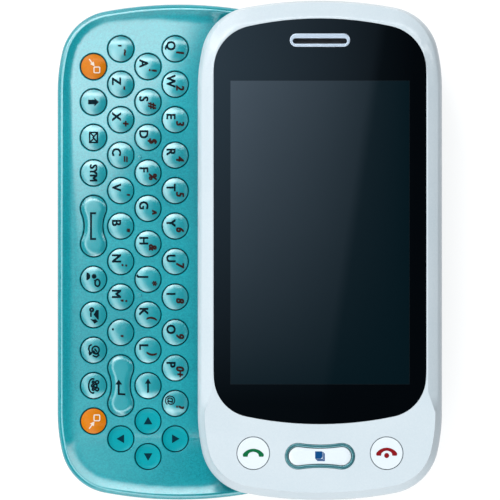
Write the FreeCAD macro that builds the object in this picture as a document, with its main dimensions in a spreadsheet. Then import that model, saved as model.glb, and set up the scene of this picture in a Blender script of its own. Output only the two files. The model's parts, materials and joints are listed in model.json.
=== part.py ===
import FreeCAD, Part

# Side-slider phone with a sliding keyboard half and a touch-screen half.
#
# The keyboard half lies on its battery cover with the keys facing +Z. The screen half rides over it
# on two guide shoes and is drawn slid open along +X by the full travel. Millimetres throughout.
# Frame: the origin is the middle of the battery cover's outer face, +Y points to the earpiece end,
# +X points from the keyboard to the screen, +Z points out of the screen.

import math
import os
from collections import namedtuple

import Sketcher

DOCUMENT = FreeCAD.newDocument("slider_phone")
SHEET = DOCUMENT.addObject("Spreadsheet::Sheet", "Sizes")
BUILT = []

DRIVING_SIZES = [
    # outline shared by both halves, seen from the front
    ("case_half_width", 26.5),
    ("case_end", 54.2),
    ("keyboard_half_setback", 0.75),
    ("crown_radius", 87.5),
    ("shoulder_radius", 11.7),
    ("flank_radius", 38.0),
    ("flank_inset", 19.0),
    # the slide
    ("slide_travel", 30.5),
    ("slide_gap", 0.25),
    ("guide_clearance", 0.05),
    ("stop_gap", 0.1),
    # keyboard half, from the back up
    ("wall", 1.3),
    ("back_edge_radius", 2.4),
    ("cover_thickness", 0.9),
    ("cover_gap", 0.1),
    ("cover_inset", 4.1),
    ("cover_upper_inset", 20.7),
    ("cover_lower_inset", 6.2),
    ("cover_corner_radius", 6.0),
    ("cover_edge_radius", 0.3),
    ("notch_half_width", 6.0),
    ("notch_depth", 0.9),
    ("notch_height", 0.45),
    ("housing_floor", 0.8),
    ("battery_side_inset", 9.5),
    ("battery_upper_inset", 26.2),
    ("battery_thickness", 4.0),
    ("battery_lower_inset", 28.2),
    ("battery_gap", 0.15),
    ("battery_corner_radius", 0.9),
    ("bay_wall", 0.8),
    ("bay_roof", 0.4),
    ("board_thickness", 0.6),
    ("board_edge_gap", 0.4),
    ("can_width", 12.0),
    ("can_motor_gap", 0.7),
    ("bay_parts_length", 13.8),
    ("bay_parts_gap", 1.3),
    ("housing_lip", 0.2),
    ("keyboard_half_thickness", 8.7),
    ("rim_width", 1.2),
    ("rim_edge_radius", 1.1),
    ("dish_depth", 0.8),
    ("dish_slope_width", 3.0),
    ("deck_thickness", 0.8),
    ("deck_step", 0.6),
    # keyboard
    ("key_line_pitch", 5.92),
    ("key_lower_inset", 9.381),
    ("key_side_inset", 7.84),
    ("key_upper_inset", 10.4),
    ("key_radius", 2.7),
    ("key_gap", 0.24),
    ("key_flange_lip", 0.22),
    ("key_flange_thickness", 0.3),
    ("key_crown", 0.55),
    ("key_travel", 0.3),
    ("key_nib_radius", 1.0),
    ("key_rest_gap", 0.02),
    ("key_hole_chamfer", 0.16),
    ("arrow_key_sink", 0.1),
    ("arrow_key_dish", 0.35),
    ("arrow_key_flat_radius", 1.95),
    ("long_key_waist", 1.9),
    ("long_key_crown_inset", 1.37),
    ("film_thickness", 0.1),
    ("dome_height", 0.2),
    ("dome_radius", 2.0),
    ("mat_clearance", 0.05),
    ("key_field_margin", 0.24),
    ("home_dot_radius", 0.4),
    ("home_dot_height", 0.25),
    ("home_dot_edge_radius", 0.15),
    ("home_dot_offset", 1.82),
    ("home_dot_spread", 14.92),
    # slide mechanism
    ("plate_thickness", 0.5),
    ("base_plate_margin", 1.5),
    ("base_plate_inset", 18.2),
    ("shoe_inset", 24.2),
    ("shoe_foot_width", 5.0),
    ("shoe_foot_height", 0.6),
    ("shoe_shoulder_width", 2.8),
    ("shoe_neck_width", 2.1),
    ("shoe_head_width", 4.2),
    ("shoe_head_height", 0.62),
    ("shoe_ear_reach", 1.5),
    ("shoe_ear_thickness", 0.25),
    ("shoe_ear_half_width", 1.2),
    ("shoe_ear_margin", 0.9),
    ("pin_radius", 0.6),
    ("pin_height", 0.8),
    ("spring_wire", 0.5),
    ("spring_anchor_line", 9.0),
    ("spring_leg", 2.4),
    ("spring_bend", 1.0),
    ("flex_width", 8.0),
    ("flex_thickness", 0.15),
    ("flex_slot_half_width", 0.8),
    ("flex_side_gap", 0.3),
    ("flex_tail", 6.0),
    # screen half, from its underside up
    ("tray_floor", 0.6),
    ("tray_edge_radius", 0.8),
    ("tray_wall", 1.4),
    ("tray_height", 2.25),
    ("chamber_height", 0.9),
    ("carriage_inset", 16.2),
    ("stake_inset", 2.6),
    ("stake_proud", 0.1),
    ("carriage_edge_gap", 0.3),
    ("slot_left_margin", 1.2),
    ("slot_right_margin", 3.7),
    ("bracket_floor", 0.4),
    ("bracket_fence", 0.7),
    ("bracket_fence_height", 1.6),
    ("bracket_edge_gap", 0.2),
    ("display_side_margin", 1.4),
    ("display_upper_margin", 11.33),
    ("display_thickness", 2.4),
    ("display_lower_margin", 6.47),
    ("phone_thickness", 15.9),
    ("window_side_inset", 3.5),
    ("window_upper_inset", 4.0),
    ("window_lower_inset", 16.6),
    ("window_crown_upper", 71.6),
    ("window_crown_lower", 77.8),
    ("window_shoulder_upper", 9.5),
    ("window_shoulder_lower", 8.7),
    ("window_flank", 26.3),
    ("window_flank_upper_inset", 12.0),
    ("window_flank_lower_inset", 11.8),
    ("window_gap", 0.08),
    ("window_thickness", 1.5),
    ("window_recess", 0.15),
    ("window_ledge_width", 1.0),
    ("window_ledge", 1.2),
    ("skirt_foot_height", 11.85),
    ("belt_height", 12.6),
    ("belt_inset", 0.12),
    ("ridge_height", 14.7),
    ("ridge_side_inset", 1.05),
    ("ridge_upper_inset", 0.45),
    ("ridge_lower_inset", 1.25),
    ("bezel_side_inset", 3.1),
    ("bezel_upper_inset", 3.3),
    ("apron_side_inset", 1.5),
    ("apron_lower_inset", 1.7),
    ("apron_inset", 23.7),
    ("apron_thickness", 1.2),
    ("earpiece_inset", 4.65),
    ("earpiece_half_length", 6.55),
    ("earpiece_radius", 1.45),
    ("earpiece_rim", 0.68),
    ("earpiece_slot_radius", 0.59),
    ("earpiece_proud", 0.09),
    ("earpiece_edge_radius", 0.2),
    ("receiver_reach", 2.3),
    ("receiver_gap", 1.0),
    ("receiver_thickness", 2.2),
    # keys below the screen
    ("front_key_inset", 10.25),
    ("front_key_side_inset", 12.05),
    ("front_key_radius", 3.48),
    ("front_key_gap", 0.16),
    ("front_key_flange_lip", 0.4),
    ("front_key_flange_thickness", 0.35),
    ("front_key_recess", 0.05),
    ("front_key_bevel", 0.1),
    ("front_board_margin", 0.3),
    ("front_board_end_margin", 0.6),
    ("menu_key_inset", 9.6),
    ("menu_lobe_spread", 4.75),
    ("menu_lobe_radius", 1.98),
    ("menu_waist", 1.62),
    ("menu_crown", 0.2),
    ("menu_crown_inset", 1.0),
    ("menu_ring_edge_radius", 0.26),
    ("menu_ring_width", 0.88),
    ("front_board_thickness", 0.5),
    ("front_board_reach", 3.35),
    ("trim_gap", 0.03),
    ("front_board_half_length", 4.0),
    # side keys, sockets and parts inside the keyboard half
    ("side_key_height", 2.2),
    ("side_key_middle", 3.75),
    ("side_key_proud", 0.4),
    ("side_key_flange_lip", 0.45),
    ("side_key_flange_thickness", 0.5),
    ("side_key_edge_radius", 0.3),
    ("side_key_room", 0.36),
    ("side_key_gap", 0.12),
    ("volume_key_centre", 12.0),
    ("volume_key_half_length", 8.0),
    ("camera_key_inset", 21.2),
    ("camera_key_half_length", 4.0),
    ("pivot_radius", 0.55),
    ("switch_depth", 1.3),
    ("switch_half_width", 1.2),
    ("volume_switch_reach", 5.5),
    ("jack_side_inset", 10.5),
    ("jack_bore_radius", 1.8),
    ("jack_wall", 0.25),
    ("jack_end_inset", 2.9),
    ("jack_lift", 0.25),
    ("jack_length", 14.0),
    ("jack_blind_wall", 0.8),
    ("usb_inset", 24.2),
    ("usb_half_width", 3.7),
    ("usb_height", 2.3),
    ("usb_depth", 5.2),
    ("usb_shell", 0.3),
    ("usb_tongue_half_width", 1.85),
    ("usb_tongue_thickness", 0.6),
    ("usb_tongue_lift", 0.6),
    ("usb_tail", 0.6),
    ("camera_side", 12.0),
    ("camera_inset", 13.0),
    ("camera_half_size", 4.2),
    ("camera_height", 3.3),
    ("camera_barrel_radius", 2.6),
    ("lens_radius", 3.4),
    ("lens_thickness", 0.6),
    ("speaker_side", 2.0),
    ("speaker_inset", 13.2),
    ("speaker_half_width", 6.5),
    ("speaker_half_length", 4.5),
    ("speaker_thickness", 2.8),
    ("speaker_corner_radius", 1.5),
    ("sound_slot_width", 0.9),
    ("sound_slot_pitch", 2.0),
    ("motor_side_inset", 11.0),
    ("motor_inset", 19.7),
    ("motor_radius", 4.0),
    ("motor_thickness", 2.7),
    ("motor_edge_radius", 0.3),
    ("card_holder_thickness", 1.6),
    ("card_holder_width", 13.0),
    ("card_holder_gap", 1.5),
    ("card_holder_wall", 0.3),
    ("card_stop", 1.3),
    ("antenna_half_width", 12.0),
    ("antenna_depth", 3.2),
    ("antenna_gap", 1.05),
    ("screw_inset", 5.7),
    ("screw_key_gap", 5.0),
    ("screw_lower_inset", 12.2),
    ("inner_screw_gap", 5.9),
    ("inner_screw_upper_inset", 22.9),
    ("inner_screw_lower_inset", 9.0),
    ("screw_shank_radius", 0.7),
    ("screw_head_radius", 1.3),
    ("screw_head_height", 0.5),
    ("screw_seat", 0.25),
    ("screw_tip_gap", 0.4),
    ("flat_head_height", 0.35),
    ("drive_half_width", 0.1),
    ("drive_depth", 0.25),
    ("post_radius", 1.8),
    ("tray_screw_inset", 6.5),
    ("tray_screw_end_inset", 9.7),
    ("clearance", 0.1),
]

KEY_LINES = 4
KEY_PLACES = 12
SOUND_SLOTS = 5
DISH_SECTIONS = 5
KEY_CROWN_SECTIONS = 4
SPRING_LEGS = 6

# name of the key or group of keys, line (0 is nearest the screen), first place, number of keys
ROUND_KEYS = [
    ("letter_keys_q_to_t", 0, 0, 5),
    ("letter_keys_y_to_p", 0, 5, 6),
    ("letter_keys_a_to_g", 1, 0, 5),
    ("letter_keys_h_to_l", 1, 5, 4),
    ("letter_keys_z_to_v", 2, 0, 5),
    ("letter_keys_b_to_m", 2, 5, 4),
    ("backspace_key", 1, 9, 1),
    ("left_soft_key", 3, 0, 1),
    ("shift_key", 3, 1, 1),
    ("message_key", 3, 2, 1),
    ("symbol_key", 3, 3, 1),
    ("contacts_key", 3, 6, 1),
    ("media_key", 3, 7, 1),
    ("share_key", 3, 8, 1),
    ("web_key", 3, 9, 1),
    ("right_soft_key", 3, 10, 1),
]
ARROW_KEYS = [
    ("arrow_up_key", 1, 10),
    ("arrow_down_key", 1, 11),
    ("arrow_left_key", 2, 11),
    ("arrow_right_key", 0, 11),
]
LONG_KEYS = [("space_key", 3, 4), ("enter_key", 2, 9)]


class Size:
    """A length in millimetres together with the sheet expression that gives it."""

    def __init__(self, value, text):
        self.value = float(value)
        self.text = text

    @staticmethod
    def of(other):
        return other if isinstance(other, Size) else Size(other, repr(other))

    def __add__(self, other):
        other = Size.of(other)
        return Size(self.value + other.value, f"({self.text} + {other.text})")

    def __sub__(self, other):
        other = Size.of(other)
        return Size(self.value - other.value, f"({self.text} - {other.text})")

    def __mul__(self, other):
        other = Size.of(other)
        return Size(self.value * other.value, f"({self.text} * {other.text})")

    def __truediv__(self, other):
        other = Size.of(other)
        return Size(self.value / other.value, f"({self.text} / {other.text})")

    def __neg__(self):
        return Size(-self.value, f"(0 - {self.text})")


class Sheet:
    """The sheet's cells as Size attributes, one for each alias."""


def fill_sheet():
    sizes = Sheet()
    for row, (alias, number) in enumerate(DRIVING_SIZES, start=1):
        SHEET.set(f"A{row}", alias)
        SHEET.set(f"B{row}", str(number))
        SHEET.setAlias(f"B{row}", alias)
        setattr(sizes, alias, Size(number, f"Sizes.{alias}"))
    DOCUMENT.recompute()
    return sizes


S = fill_sheet()
ZERO = Size(0, "0")


# ---------------------------------------------------------------- levels along Z

Z_BATTERY = S.cover_thickness + S.battery_gap
Z_RECESS = S.cover_thickness + S.cover_gap
Z_FLOOR = Z_RECESS + S.housing_floor
Z_BAY_TOP = Z_BATTERY + S.battery_thickness + S.battery_gap
Z_BOARD = Z_BAY_TOP + S.bay_roof
Z_BOARD_TOP = Z_BOARD + S.board_thickness
Z_FILM_TOP = Z_BOARD_TOP + S.film_thickness
Z_DOME_TOP = Z_FILM_TOP + S.dome_height
Z_PARTING = Z_BOARD_TOP + S.housing_lip
Z_RIM = S.keyboard_half_thickness
Z_DECK = Z_RIM - S.dish_depth
Z_DECK_UNDER = Z_DECK - S.deck_thickness
Z_STEP_UNDER = Z_DECK_UNDER - S.deck_step
Z_KEY_BOTTOM = Z_DOME_TOP + S.key_rest_gap
Z_FLANGE_TOP = Z_DECK_UNDER - S.mat_clearance
Z_FLANGE = Z_FLANGE_TOP - S.key_flange_thickness
Z_KEY_EDGE = Z_DECK + S.mat_clearance
Z_KEY_TOP = Z_KEY_EDGE + S.key_crown
Z_PLATE_TOP = Z_DECK - S.clearance
Z_PLATE = Z_PLATE_TOP - S.plate_thickness
Z_TRAY = Z_RIM + S.slide_gap
Z_TRAY_FLOOR = Z_TRAY + S.tray_floor
Z_CARRIAGE_TOP = Z_TRAY_FLOOR + S.plate_thickness
Z_BRACKET = Z_CARRIAGE_TOP + S.chamber_height
Z_BRACKET_TOP = Z_BRACKET + S.bracket_floor
Z_TRAY_TOP = Z_TRAY + S.tray_height
Z_FRONT = S.phone_thickness
Z_WINDOW_TOP = Z_FRONT - S.window_recess
Z_WINDOW = Z_WINDOW_TOP - S.window_thickness
Z_LEDGE = Z_WINDOW - S.window_ledge
Z_APRON_UNDER = Z_FRONT - S.apron_thickness
Z_FRONT_FLANGE_TOP = Z_APRON_UNDER - S.mat_clearance
Z_FRONT_FLANGE = Z_FRONT_FLANGE_TOP - S.front_key_flange_thickness
Z_FRONT_BOARD = Z_LEDGE
Z_FRONT_BOARD_TOP = Z_FRONT_BOARD + S.front_board_thickness
Z_FRONT_KEY_BOTTOM = Z_FRONT_BOARD_TOP + S.dome_height + S.key_travel + S.key_rest_gap

# ---------------------------------------------------------------- distances that follow the case

# across, from the middle line to the side
INNER_WALL = S.case_half_width - S.wall
COVER_HALF_WIDTH = S.case_half_width - S.cover_inset
BATTERY_HALF_WIDTH = S.case_half_width - S.battery_side_inset
MOTOR_SIDE = S.case_half_width - S.motor_side_inset
JACK_SIDE = S.case_half_width - S.jack_side_inset
SCREW_SIDE = S.case_half_width - S.screw_inset
TRAY_SCREW_SIDE = S.case_half_width - S.tray_screw_inset
CARRIAGE_HALF_WIDTH = S.case_half_width - S.tray_wall - S.carriage_edge_gap
WINDOW_HALF_WIDTH = S.case_half_width - S.window_side_inset
DISPLAY_HALF_WIDTH = WINDOW_HALF_WIDTH - S.window_ledge_width - S.display_side_margin
FRONT_KEY_SIDE = S.case_half_width - S.front_key_side_inset

# the slots take what the carriage's width leaves, and the shoes what the travel leaves of them
SLOT_LEFT = S.slot_left_margin - CARRIAGE_HALF_WIDTH
SLOT_RIGHT = CARRIAGE_HALF_WIDTH - S.slot_right_margin
SHOE_LEFT = SLOT_LEFT + S.slide_travel + S.stop_gap
SHOE_RIGHT = SLOT_RIGHT - S.stop_gap
SHOE_MIDDLE = (SHOE_LEFT + SHOE_RIGHT) / 2
FLEX_LEFT = SHOE_MIDDLE - S.flex_width / 2
FLEX_RIGHT = SHOE_MIDDLE + S.flex_width / 2
BASE_PLATE_LEFT = SHOE_LEFT - S.base_plate_margin
BASE_PLATE_RIGHT = SHOE_RIGHT + S.base_plate_margin

# along, from the middle to the upper or lower end
FLANK_START = S.case_end - S.flank_inset
COVER_UPPER_END = S.case_end - S.cover_upper_inset
COVER_LOWER_END = S.case_end - S.cover_lower_inset
BATTERY_HIGH = S.case_end - S.battery_upper_inset
BATTERY_LOW = S.battery_lower_inset - S.case_end
BASE_PLATE_HALF_LENGTH = S.case_end - S.base_plate_inset
SHOE_LINE = S.case_end - S.shoe_inset
CARRIAGE_HALF_LENGTH = S.case_end - S.carriage_inset
STAKE_PLACE = CARRIAGE_HALF_LENGTH - S.stake_inset
TRAY_SCREW_PLACE = S.case_end - S.tray_screw_end_inset
SCREW_UPPER = S.volume_key_centre + S.volume_key_half_length + S.screw_key_gap
SCREW_LOWER = S.case_end - S.screw_lower_inset
INNER_SCREW_UPPER = S.case_end - S.inner_screw_upper_inset
INNER_SCREW_LOWER = S.case_end - S.inner_screw_lower_inset
CAMERA_PLACE = S.case_end - S.camera_inset
SPEAKER_PLACE = S.case_end - S.speaker_inset
MOTOR_PLACE = S.case_end - S.motor_inset
CAMERA_KEY_CENTRE = S.case_end - S.camera_key_inset
USB_PLACE = S.case_end - S.usb_inset
JACK_END = S.case_end - S.jack_end_inset
WINDOW_UPPER_END = S.case_end - S.window_upper_inset
WINDOW_LOWER_END = S.case_end - S.window_lower_inset
WINDOW_FLANK_UPPER = WINDOW_UPPER_END - S.window_flank_upper_inset
WINDOW_FLANK_LOWER = WINDOW_LOWER_END - S.window_flank_lower_inset
DISPLAY_HIGH = WINDOW_UPPER_END - S.display_upper_margin
DISPLAY_LOW = S.display_lower_margin - WINDOW_LOWER_END
EARPIECE_CENTRE = WINDOW_UPPER_END - S.earpiece_inset
APRON_START = S.case_end - S.apron_inset
FRONT_KEY_LINE = S.case_end - S.front_key_inset
MENU_LINE = S.case_end - S.menu_key_inset

# the places in a line of keys are spread evenly over the case, and every second line is staggered
FIRST_PLACE = S.case_end - S.key_upper_inset
KEY_SPAN = S.case_end * 2 - S.key_upper_inset - S.key_lower_inset
KEY_PLACE_PITCH = KEY_SPAN / (KEY_PLACES - 0.5)


def line_x(line):
    """Where a line of keys lies. Line 0 is nearest the screen, the last one nearest the edge."""
    last = S.case_half_width - S.key_side_inset
    return S.key_line_pitch * (KEY_LINES - 1 - line) - last


def place_y(line, number):
    """Where a key lies along its line."""
    return FIRST_PLACE - KEY_PLACE_PITCH * (number + 0.5 * (line % 2))


INNER_SCREW_SIDE = line_x(0) + S.inner_screw_gap


# ---------------------------------------------------------------- sketch helpers


def sketch_on(body, name, plane="XY_Plane", height=None):
    """A sketch on one of the body's origin planes, lifted by height."""
    made = body.newObject("Sketcher::SketchObject", name)
    support = [f for f in body.Origin.OriginFeatures if f.Role == plane][0]
    made.AttachmentSupport = [(support, "")]
    made.MapMode = "FlatFace"
    if height is not None:
        made.AttachmentOffset = FreeCAD.Placement(
            FreeCAD.Vector(0, 0, height.value), FreeCAD.Rotation()
        )
        made.setExpression("AttachmentOffset.Base.z", height.text)
    return made


def dimension(made, kind, references, size):
    """A driving constraint whose value follows a sheet expression."""
    index = made.addConstraint(Sketcher.Constraint(kind, *references, size.value))
    name = f"{kind.lower()}_{index}"
    made.renameConstraint(index, name)
    made.setExpression(f"Constraints.{name}", size.text)


def pin_point(made, geometry, point, x=None, y=None):
    """Fixes a point from the sketch origin. The datum is kept positive."""
    for kind, size in (("DistanceX", x), ("DistanceY", y)):
        if size is None:
            continue
        if abs(size.value) < 1e-9 and size.text == "0":
            axis = -2 if kind == "DistanceX" else -1
            made.addConstraint(Sketcher.Constraint("PointOnObject", geometry, point, axis))
        elif size.value < 0:
            dimension(made, kind, (geometry, point, -1, 1), -size)
        else:
            dimension(made, kind, (-1, 1, geometry, point), size)


def add_circle(made, x, y, radius):
    centre = FreeCAD.Vector(x.value, y.value, 0)
    up = FreeCAD.Vector(0, 0, 1)
    index = made.addGeometry(Part.Circle(centre, up, radius.value))
    pin_point(made, index, 3, x, y)
    dimension(made, "Radius", (index,), radius)
    return index


def add_polygon(made, corners):
    """A closed outline of straight sides through corners, each an (x, y) pair of sizes."""
    points = [FreeCAD.Vector(x.value, y.value, 0) for x, y in corners]
    sides = []
    for start, end in zip(points, points[1:] + points[:1]):
        sides.append(made.addGeometry(Part.LineSegment(start, end)))
    for side, following in zip(sides, sides[1:] + sides[:1]):
        made.addConstraint(Sketcher.Constraint("Coincident", side, 2, following, 1))
    for side, (x, y) in zip(sides, corners):
        pin_point(made, side, 1, x, y)
    return sides


def add_rectangle(made, left, right, low, high):
    return add_polygon(made, [(left, low), (right, low), (right, high), (left, high)])


def arc(centre, radius, start, end):
    up = FreeCAD.Vector(0, 0, 1)
    circle = Part.Circle(FreeCAD.Vector(centre[0], centre[1], 0), up, radius)
    return Part.ArcOfCircle(circle, start, end)


def tangent_loop(made, pieces):
    """Adds curves that follow each other anticlockwise and joins them smoothly end to start."""
    indices = [made.addGeometry(piece) for piece in pieces]
    for index, following in zip(indices, indices[1:] + indices[:1]):
        made.addConstraint(Sketcher.Constraint("Tangent", index, 2, following, 1))
    return indices


def add_stadium(made, left, right, y, radius):
    """A slot with round ends whose centres are at left and right."""
    low, high = y.value - radius.value, y.value + radius.value
    bottom = Part.LineSegment(
        FreeCAD.Vector(left.value, low, 0), FreeCAD.Vector(right.value, low, 0)
    )
    top = Part.LineSegment(
        FreeCAD.Vector(right.value, high, 0), FreeCAD.Vector(left.value, high, 0)
    )
    right_end = arc((right.value, y.value), radius.value, -math.pi / 2, math.pi / 2)
    left_end = arc((left.value, y.value), radius.value, math.pi / 2, 3 * math.pi / 2)
    _, right_arc, _, left_arc = tangent_loop(made, [bottom, right_end, top, left_end])
    pin_point(made, right_arc, 3, right, y)
    pin_point(made, left_arc, 3, left, y)
    dimension(made, "Radius", (right_arc,), radius)


LongShape = namedtuple("LongShape", "spread lobe waist")


def grown(shape, by):
    return LongShape(shape.spread, shape.lobe + by, shape.waist + by)


def add_long_shape(made, shape, x=ZERO, y=ZERO, along_y=False):
    """Two round lobes joined by a waist, like a peanut. The waist's arcs touch both lobes."""
    spread, lobe, waist = shape
    hollow = (spread * spread + waist * waist - lobe * lobe) / ((lobe - waist) * 2)
    reach = (waist + hollow).value
    turn = math.atan2(reach, spread.value)
    pieces = [
        arc((spread.value, 0), lobe.value, -turn, turn),
        arc((0, reach), hollow.value, math.pi + turn, 2 * math.pi - turn),
        arc((-spread.value, 0), lobe.value, math.pi - turn, math.pi + turn),
        arc((0, -reach), hollow.value, turn, math.pi - turn),
    ]
    quarter = FreeCAD.Placement(
        FreeCAD.Vector(x.value, y.value, 0),
        FreeCAD.Rotation(FreeCAD.Vector(0, 0, 1), 90 if along_y else 0),
    )
    for piece in pieces:
        piece.transform(quarter.toMatrix())
    indices = [made.addGeometry(piece) for piece in pieces]
    # the lobes turn anticlockwise and the hollow arcs clockwise, so ends meet crosswise
    joints = [(0, 2, 1, 2), (1, 1, 2, 1), (2, 2, 3, 2), (3, 1, 0, 1)]
    for first, first_end, second, second_end in joints:
        made.addConstraint(
            Sketcher.Constraint(
                "Tangent", indices[first], first_end, indices[second], second_end
            )
        )
    if along_y:
        ends = [(x, y + spread), (x, y - spread)]
    else:
        ends = [(x + spread, y), (x - spread, y)]
    pin_point(made, indices[0], 3, *ends[0])
    pin_point(made, indices[2], 3, *ends[1])
    dimension(made, "Radius", (indices[0],), lobe)
    dimension(made, "Radius", (indices[2],), lobe)
    dimension(made, "Radius", (indices[1],), hollow)
    dimension(made, "Radius", (indices[3],), hollow)


# one end of an outline: its distance from the X axis and the radii from the middle outwards
End = namedtuple("End", "reach crown shoulder flank start")
Outline = namedtuple("Outline", "half_width upper lower lower_half_width flare_start")


def shrunk_end(end, by):
    return End(
        end.reach - by, end.crown - by, end.shoulder - by, end.flank - by, end.start
    )


def inset(outline, by):
    return Outline(
        outline.half_width - by,
        shrunk_end(outline.upper, by),
        shrunk_end(outline.lower, by),
        None,
        None,
    )


def shoulder_centre(end, half_width):
    """Centre of the shoulder arc, which touches the crown arc and the flank arc inside."""
    crown = (0.0, (end.reach - end.crown).value)
    flank = ((half_width - end.flank).value, end.start.value)
    to_crown = abs((end.crown - end.shoulder).value)
    to_flank = abs((end.flank - end.shoulder).value)
    across, up = flank[0] - crown[0], flank[1] - crown[1]
    apart = math.hypot(across, up)
    along = (to_crown**2 - to_flank**2 + apart**2) / (2 * apart)
    aside = math.sqrt(to_crown**2 - along**2)
    foot = (crown[0] + along * across / apart, crown[1] + along * up / apart)
    return (foot[0] + aside * up / apart, foot[1] - aside * across / apart)


def end_arcs(end, half_width, lower):
    """The five arcs of one end, anticlockwise."""
    crown = (0.0, (end.reach - end.crown).value)
    flank = ((half_width - end.flank).value, end.start.value)
    middle = shoulder_centre(end, half_width)
    if (middle[0] - crown[0]) < 0 or middle[1] < flank[1]:
        raise ValueError("the outline's arcs don't meet")
    crown_turn = math.atan2(middle[1] - crown[1], middle[0] - crown[0])
    flank_turn = math.atan2(middle[1] - flank[1], middle[0] - flank[0])
    turns = [0.0, flank_turn, crown_turn, math.pi - crown_turn, math.pi - flank_turn, math.pi]
    centres = [flank, middle, crown, (-middle[0], middle[1]), (-flank[0], flank[1])]
    radii = [end.flank, end.shoulder, end.crown, end.shoulder, end.flank]
    arcs = []
    for index, (centre, radius) in enumerate(zip(centres, radii)):
        start, stop = turns[index], turns[index + 1]
        if lower:
            centre = (-centre[0], -centre[1])
            start, stop = start + math.pi, stop + math.pi
        arcs.append(arc(centre, radius.value, start, stop))
    return arcs


def pin_end(made, indices, end, sign):
    """Gives one end's five arcs their radii, and the crown its place on the middle line."""
    for index, radius in zip(
        indices, [end.flank, end.shoulder, end.crown, end.shoulder, end.flank]
    ):
        dimension(made, "Radius", (index,), radius)
    centre = end.reach - end.crown
    pin_point(made, indices[2], 3, ZERO, centre if sign > 0 else -centre)


def add_outline(made, outline):
    """A phone outline: straight sides, and a crown, two shoulders and two flanks at each end."""
    right, upper, lower = outline.half_width, outline.upper, outline.lower
    foot = outline.lower_half_width or right
    upper_arcs = end_arcs(upper, right, lower=False)
    lower_arcs = end_arcs(lower, foot, lower=True)
    high = upper.start.value
    low = -lower.start.value
    flare = -outline.flare_start.value if outline.flare_start else None

    def side(x_from, y_from, x_to, y_to):
        start = FreeCAD.Vector(x_from, y_from, 0)
        return Part.LineSegment(start, FreeCAD.Vector(x_to, y_to, 0))

    if flare is None:
        rising = [side(right.value, low, right.value, high)]
        falling = [side(-right.value, high, -right.value, low)]
    else:
        rising = [
            side(foot.value, low, right.value, flare),
            side(right.value, flare, right.value, high),
        ]
        falling = [
            side(-right.value, high, -right.value, flare),
            side(-right.value, flare, -foot.value, low),
        ]
    pieces = rising + upper_arcs + falling + lower_arcs
    indices = [made.addGeometry(piece) for piece in pieces]
    straight = len(rising)
    first_upper = straight
    first_falling = straight + 5
    first_lower = first_falling + straight
    loose = set()
    if flare is not None:
        loose = {0, first_falling, first_falling + 1, len(pieces) - 1}
    for place, index in enumerate(indices):
        following = indices[(place + 1) % len(indices)]
        kind = "Coincident" if place in loose else "Tangent"
        made.addConstraint(Sketcher.Constraint(kind, index, 2, following, 1))
    pin_end(made, indices[first_upper : first_upper + 5], upper, 1)
    pin_end(made, indices[first_lower : first_lower + 5], lower, -1)
    if flare is None:
        pin_point(made, indices[0], 1, right, -lower.start)
        pin_point(made, indices[0], 2, right, upper.start)
        pin_point(made, indices[first_falling], 1, -right, upper.start)
        pin_point(made, indices[first_falling], 2, -right, -lower.start)
        return
    pin_point(made, indices[0], 1, foot, -lower.start)
    pin_point(made, indices[1], 1, right, -outline.flare_start)
    pin_point(made, indices[1], 2, right, upper.start)
    pin_point(made, indices[first_falling], 1, -right, upper.start)
    pin_point(made, indices[first_falling + 1], 1, -right, -outline.flare_start)
    pin_point(made, indices[first_falling + 1], 2, -foot, -lower.start)
    # the lower flank arcs start and end level with their centres, though the sides lean
    pin_point(made, indices[first_lower], 3, None, -lower.start)
    pin_point(made, indices[first_lower + 4], 3, None, -lower.start)


def phone_end(reach):
    return End(reach, S.crown_radius, S.shoulder_radius, S.flank_radius, FLANK_START)


def set_back_end(setback):
    end = phone_end(S.case_end - setback)
    return end._replace(start=FLANK_START - setback)


SCREEN_OUTLINE = Outline(
    S.case_half_width, phone_end(S.case_end), phone_end(S.case_end), None, None
)
KEYBOARD_OUTLINE = SCREEN_OUTLINE._replace(upper=set_back_end(S.keyboard_half_setback))
WINDOW_OUTLINE = Outline(
    WINDOW_HALF_WIDTH,
    End(
        WINDOW_UPPER_END,
        S.window_crown_upper,
        S.window_shoulder_upper,
        S.window_flank,
        WINDOW_FLANK_UPPER,
    ),
    End(
        WINDOW_LOWER_END,
        S.window_crown_lower,
        S.window_shoulder_lower,
        S.window_flank,
        WINDOW_FLANK_LOWER,
    ),
    None,
    None,
)


# ---------------------------------------------------------------- feature helpers


def new_body(label, several=False):
    body = DOCUMENT.addObject("PartDesign::Body", label)
    body.Label = label
    body.AllowCompound = several
    BUILT.append(body)
    return body


def settle(body, feature, shrinks, volume):
    """Recomputes a feature and makes sure that it added or removed material."""
    DOCUMENT.recompute()
    if not feature.isValid() or feature.Shape.isNull():
        raise RuntimeError(f"{body.Label}: {feature.Label} failed")
    change = feature.Shape.Volume - volume
    if (change > -1e-6) if shrinks else (change < 1e-6):
        raise RuntimeError(f"{body.Label}: {feature.Label} changed nothing")
    body.Tip = feature
    return feature


def volume_of(body):
    return body.Shape.Volume if body.Tip and not body.Shape.isNull() else 0.0


def pad(body, profile, length, downward=False):
    volume = volume_of(body)
    feature = body.newObject("PartDesign::Pad", "Pad")
    feature.Profile = profile
    feature.Length = length.value
    feature.setExpression("Length", length.text)
    feature.Reversed = downward
    return settle(body, feature, False, volume)


def cut(body, profile, depth, upward=False):
    """A pocket from the sketch towards -Z of the sketch, or towards +Z if upward."""
    volume = volume_of(body)
    feature = body.newObject("PartDesign::Pocket", "Pocket")
    feature.Profile = profile
    feature.Length = depth.value
    feature.setExpression("Length", depth.text)
    feature.Reversed = upward
    return settle(body, feature, True, volume)


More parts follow.
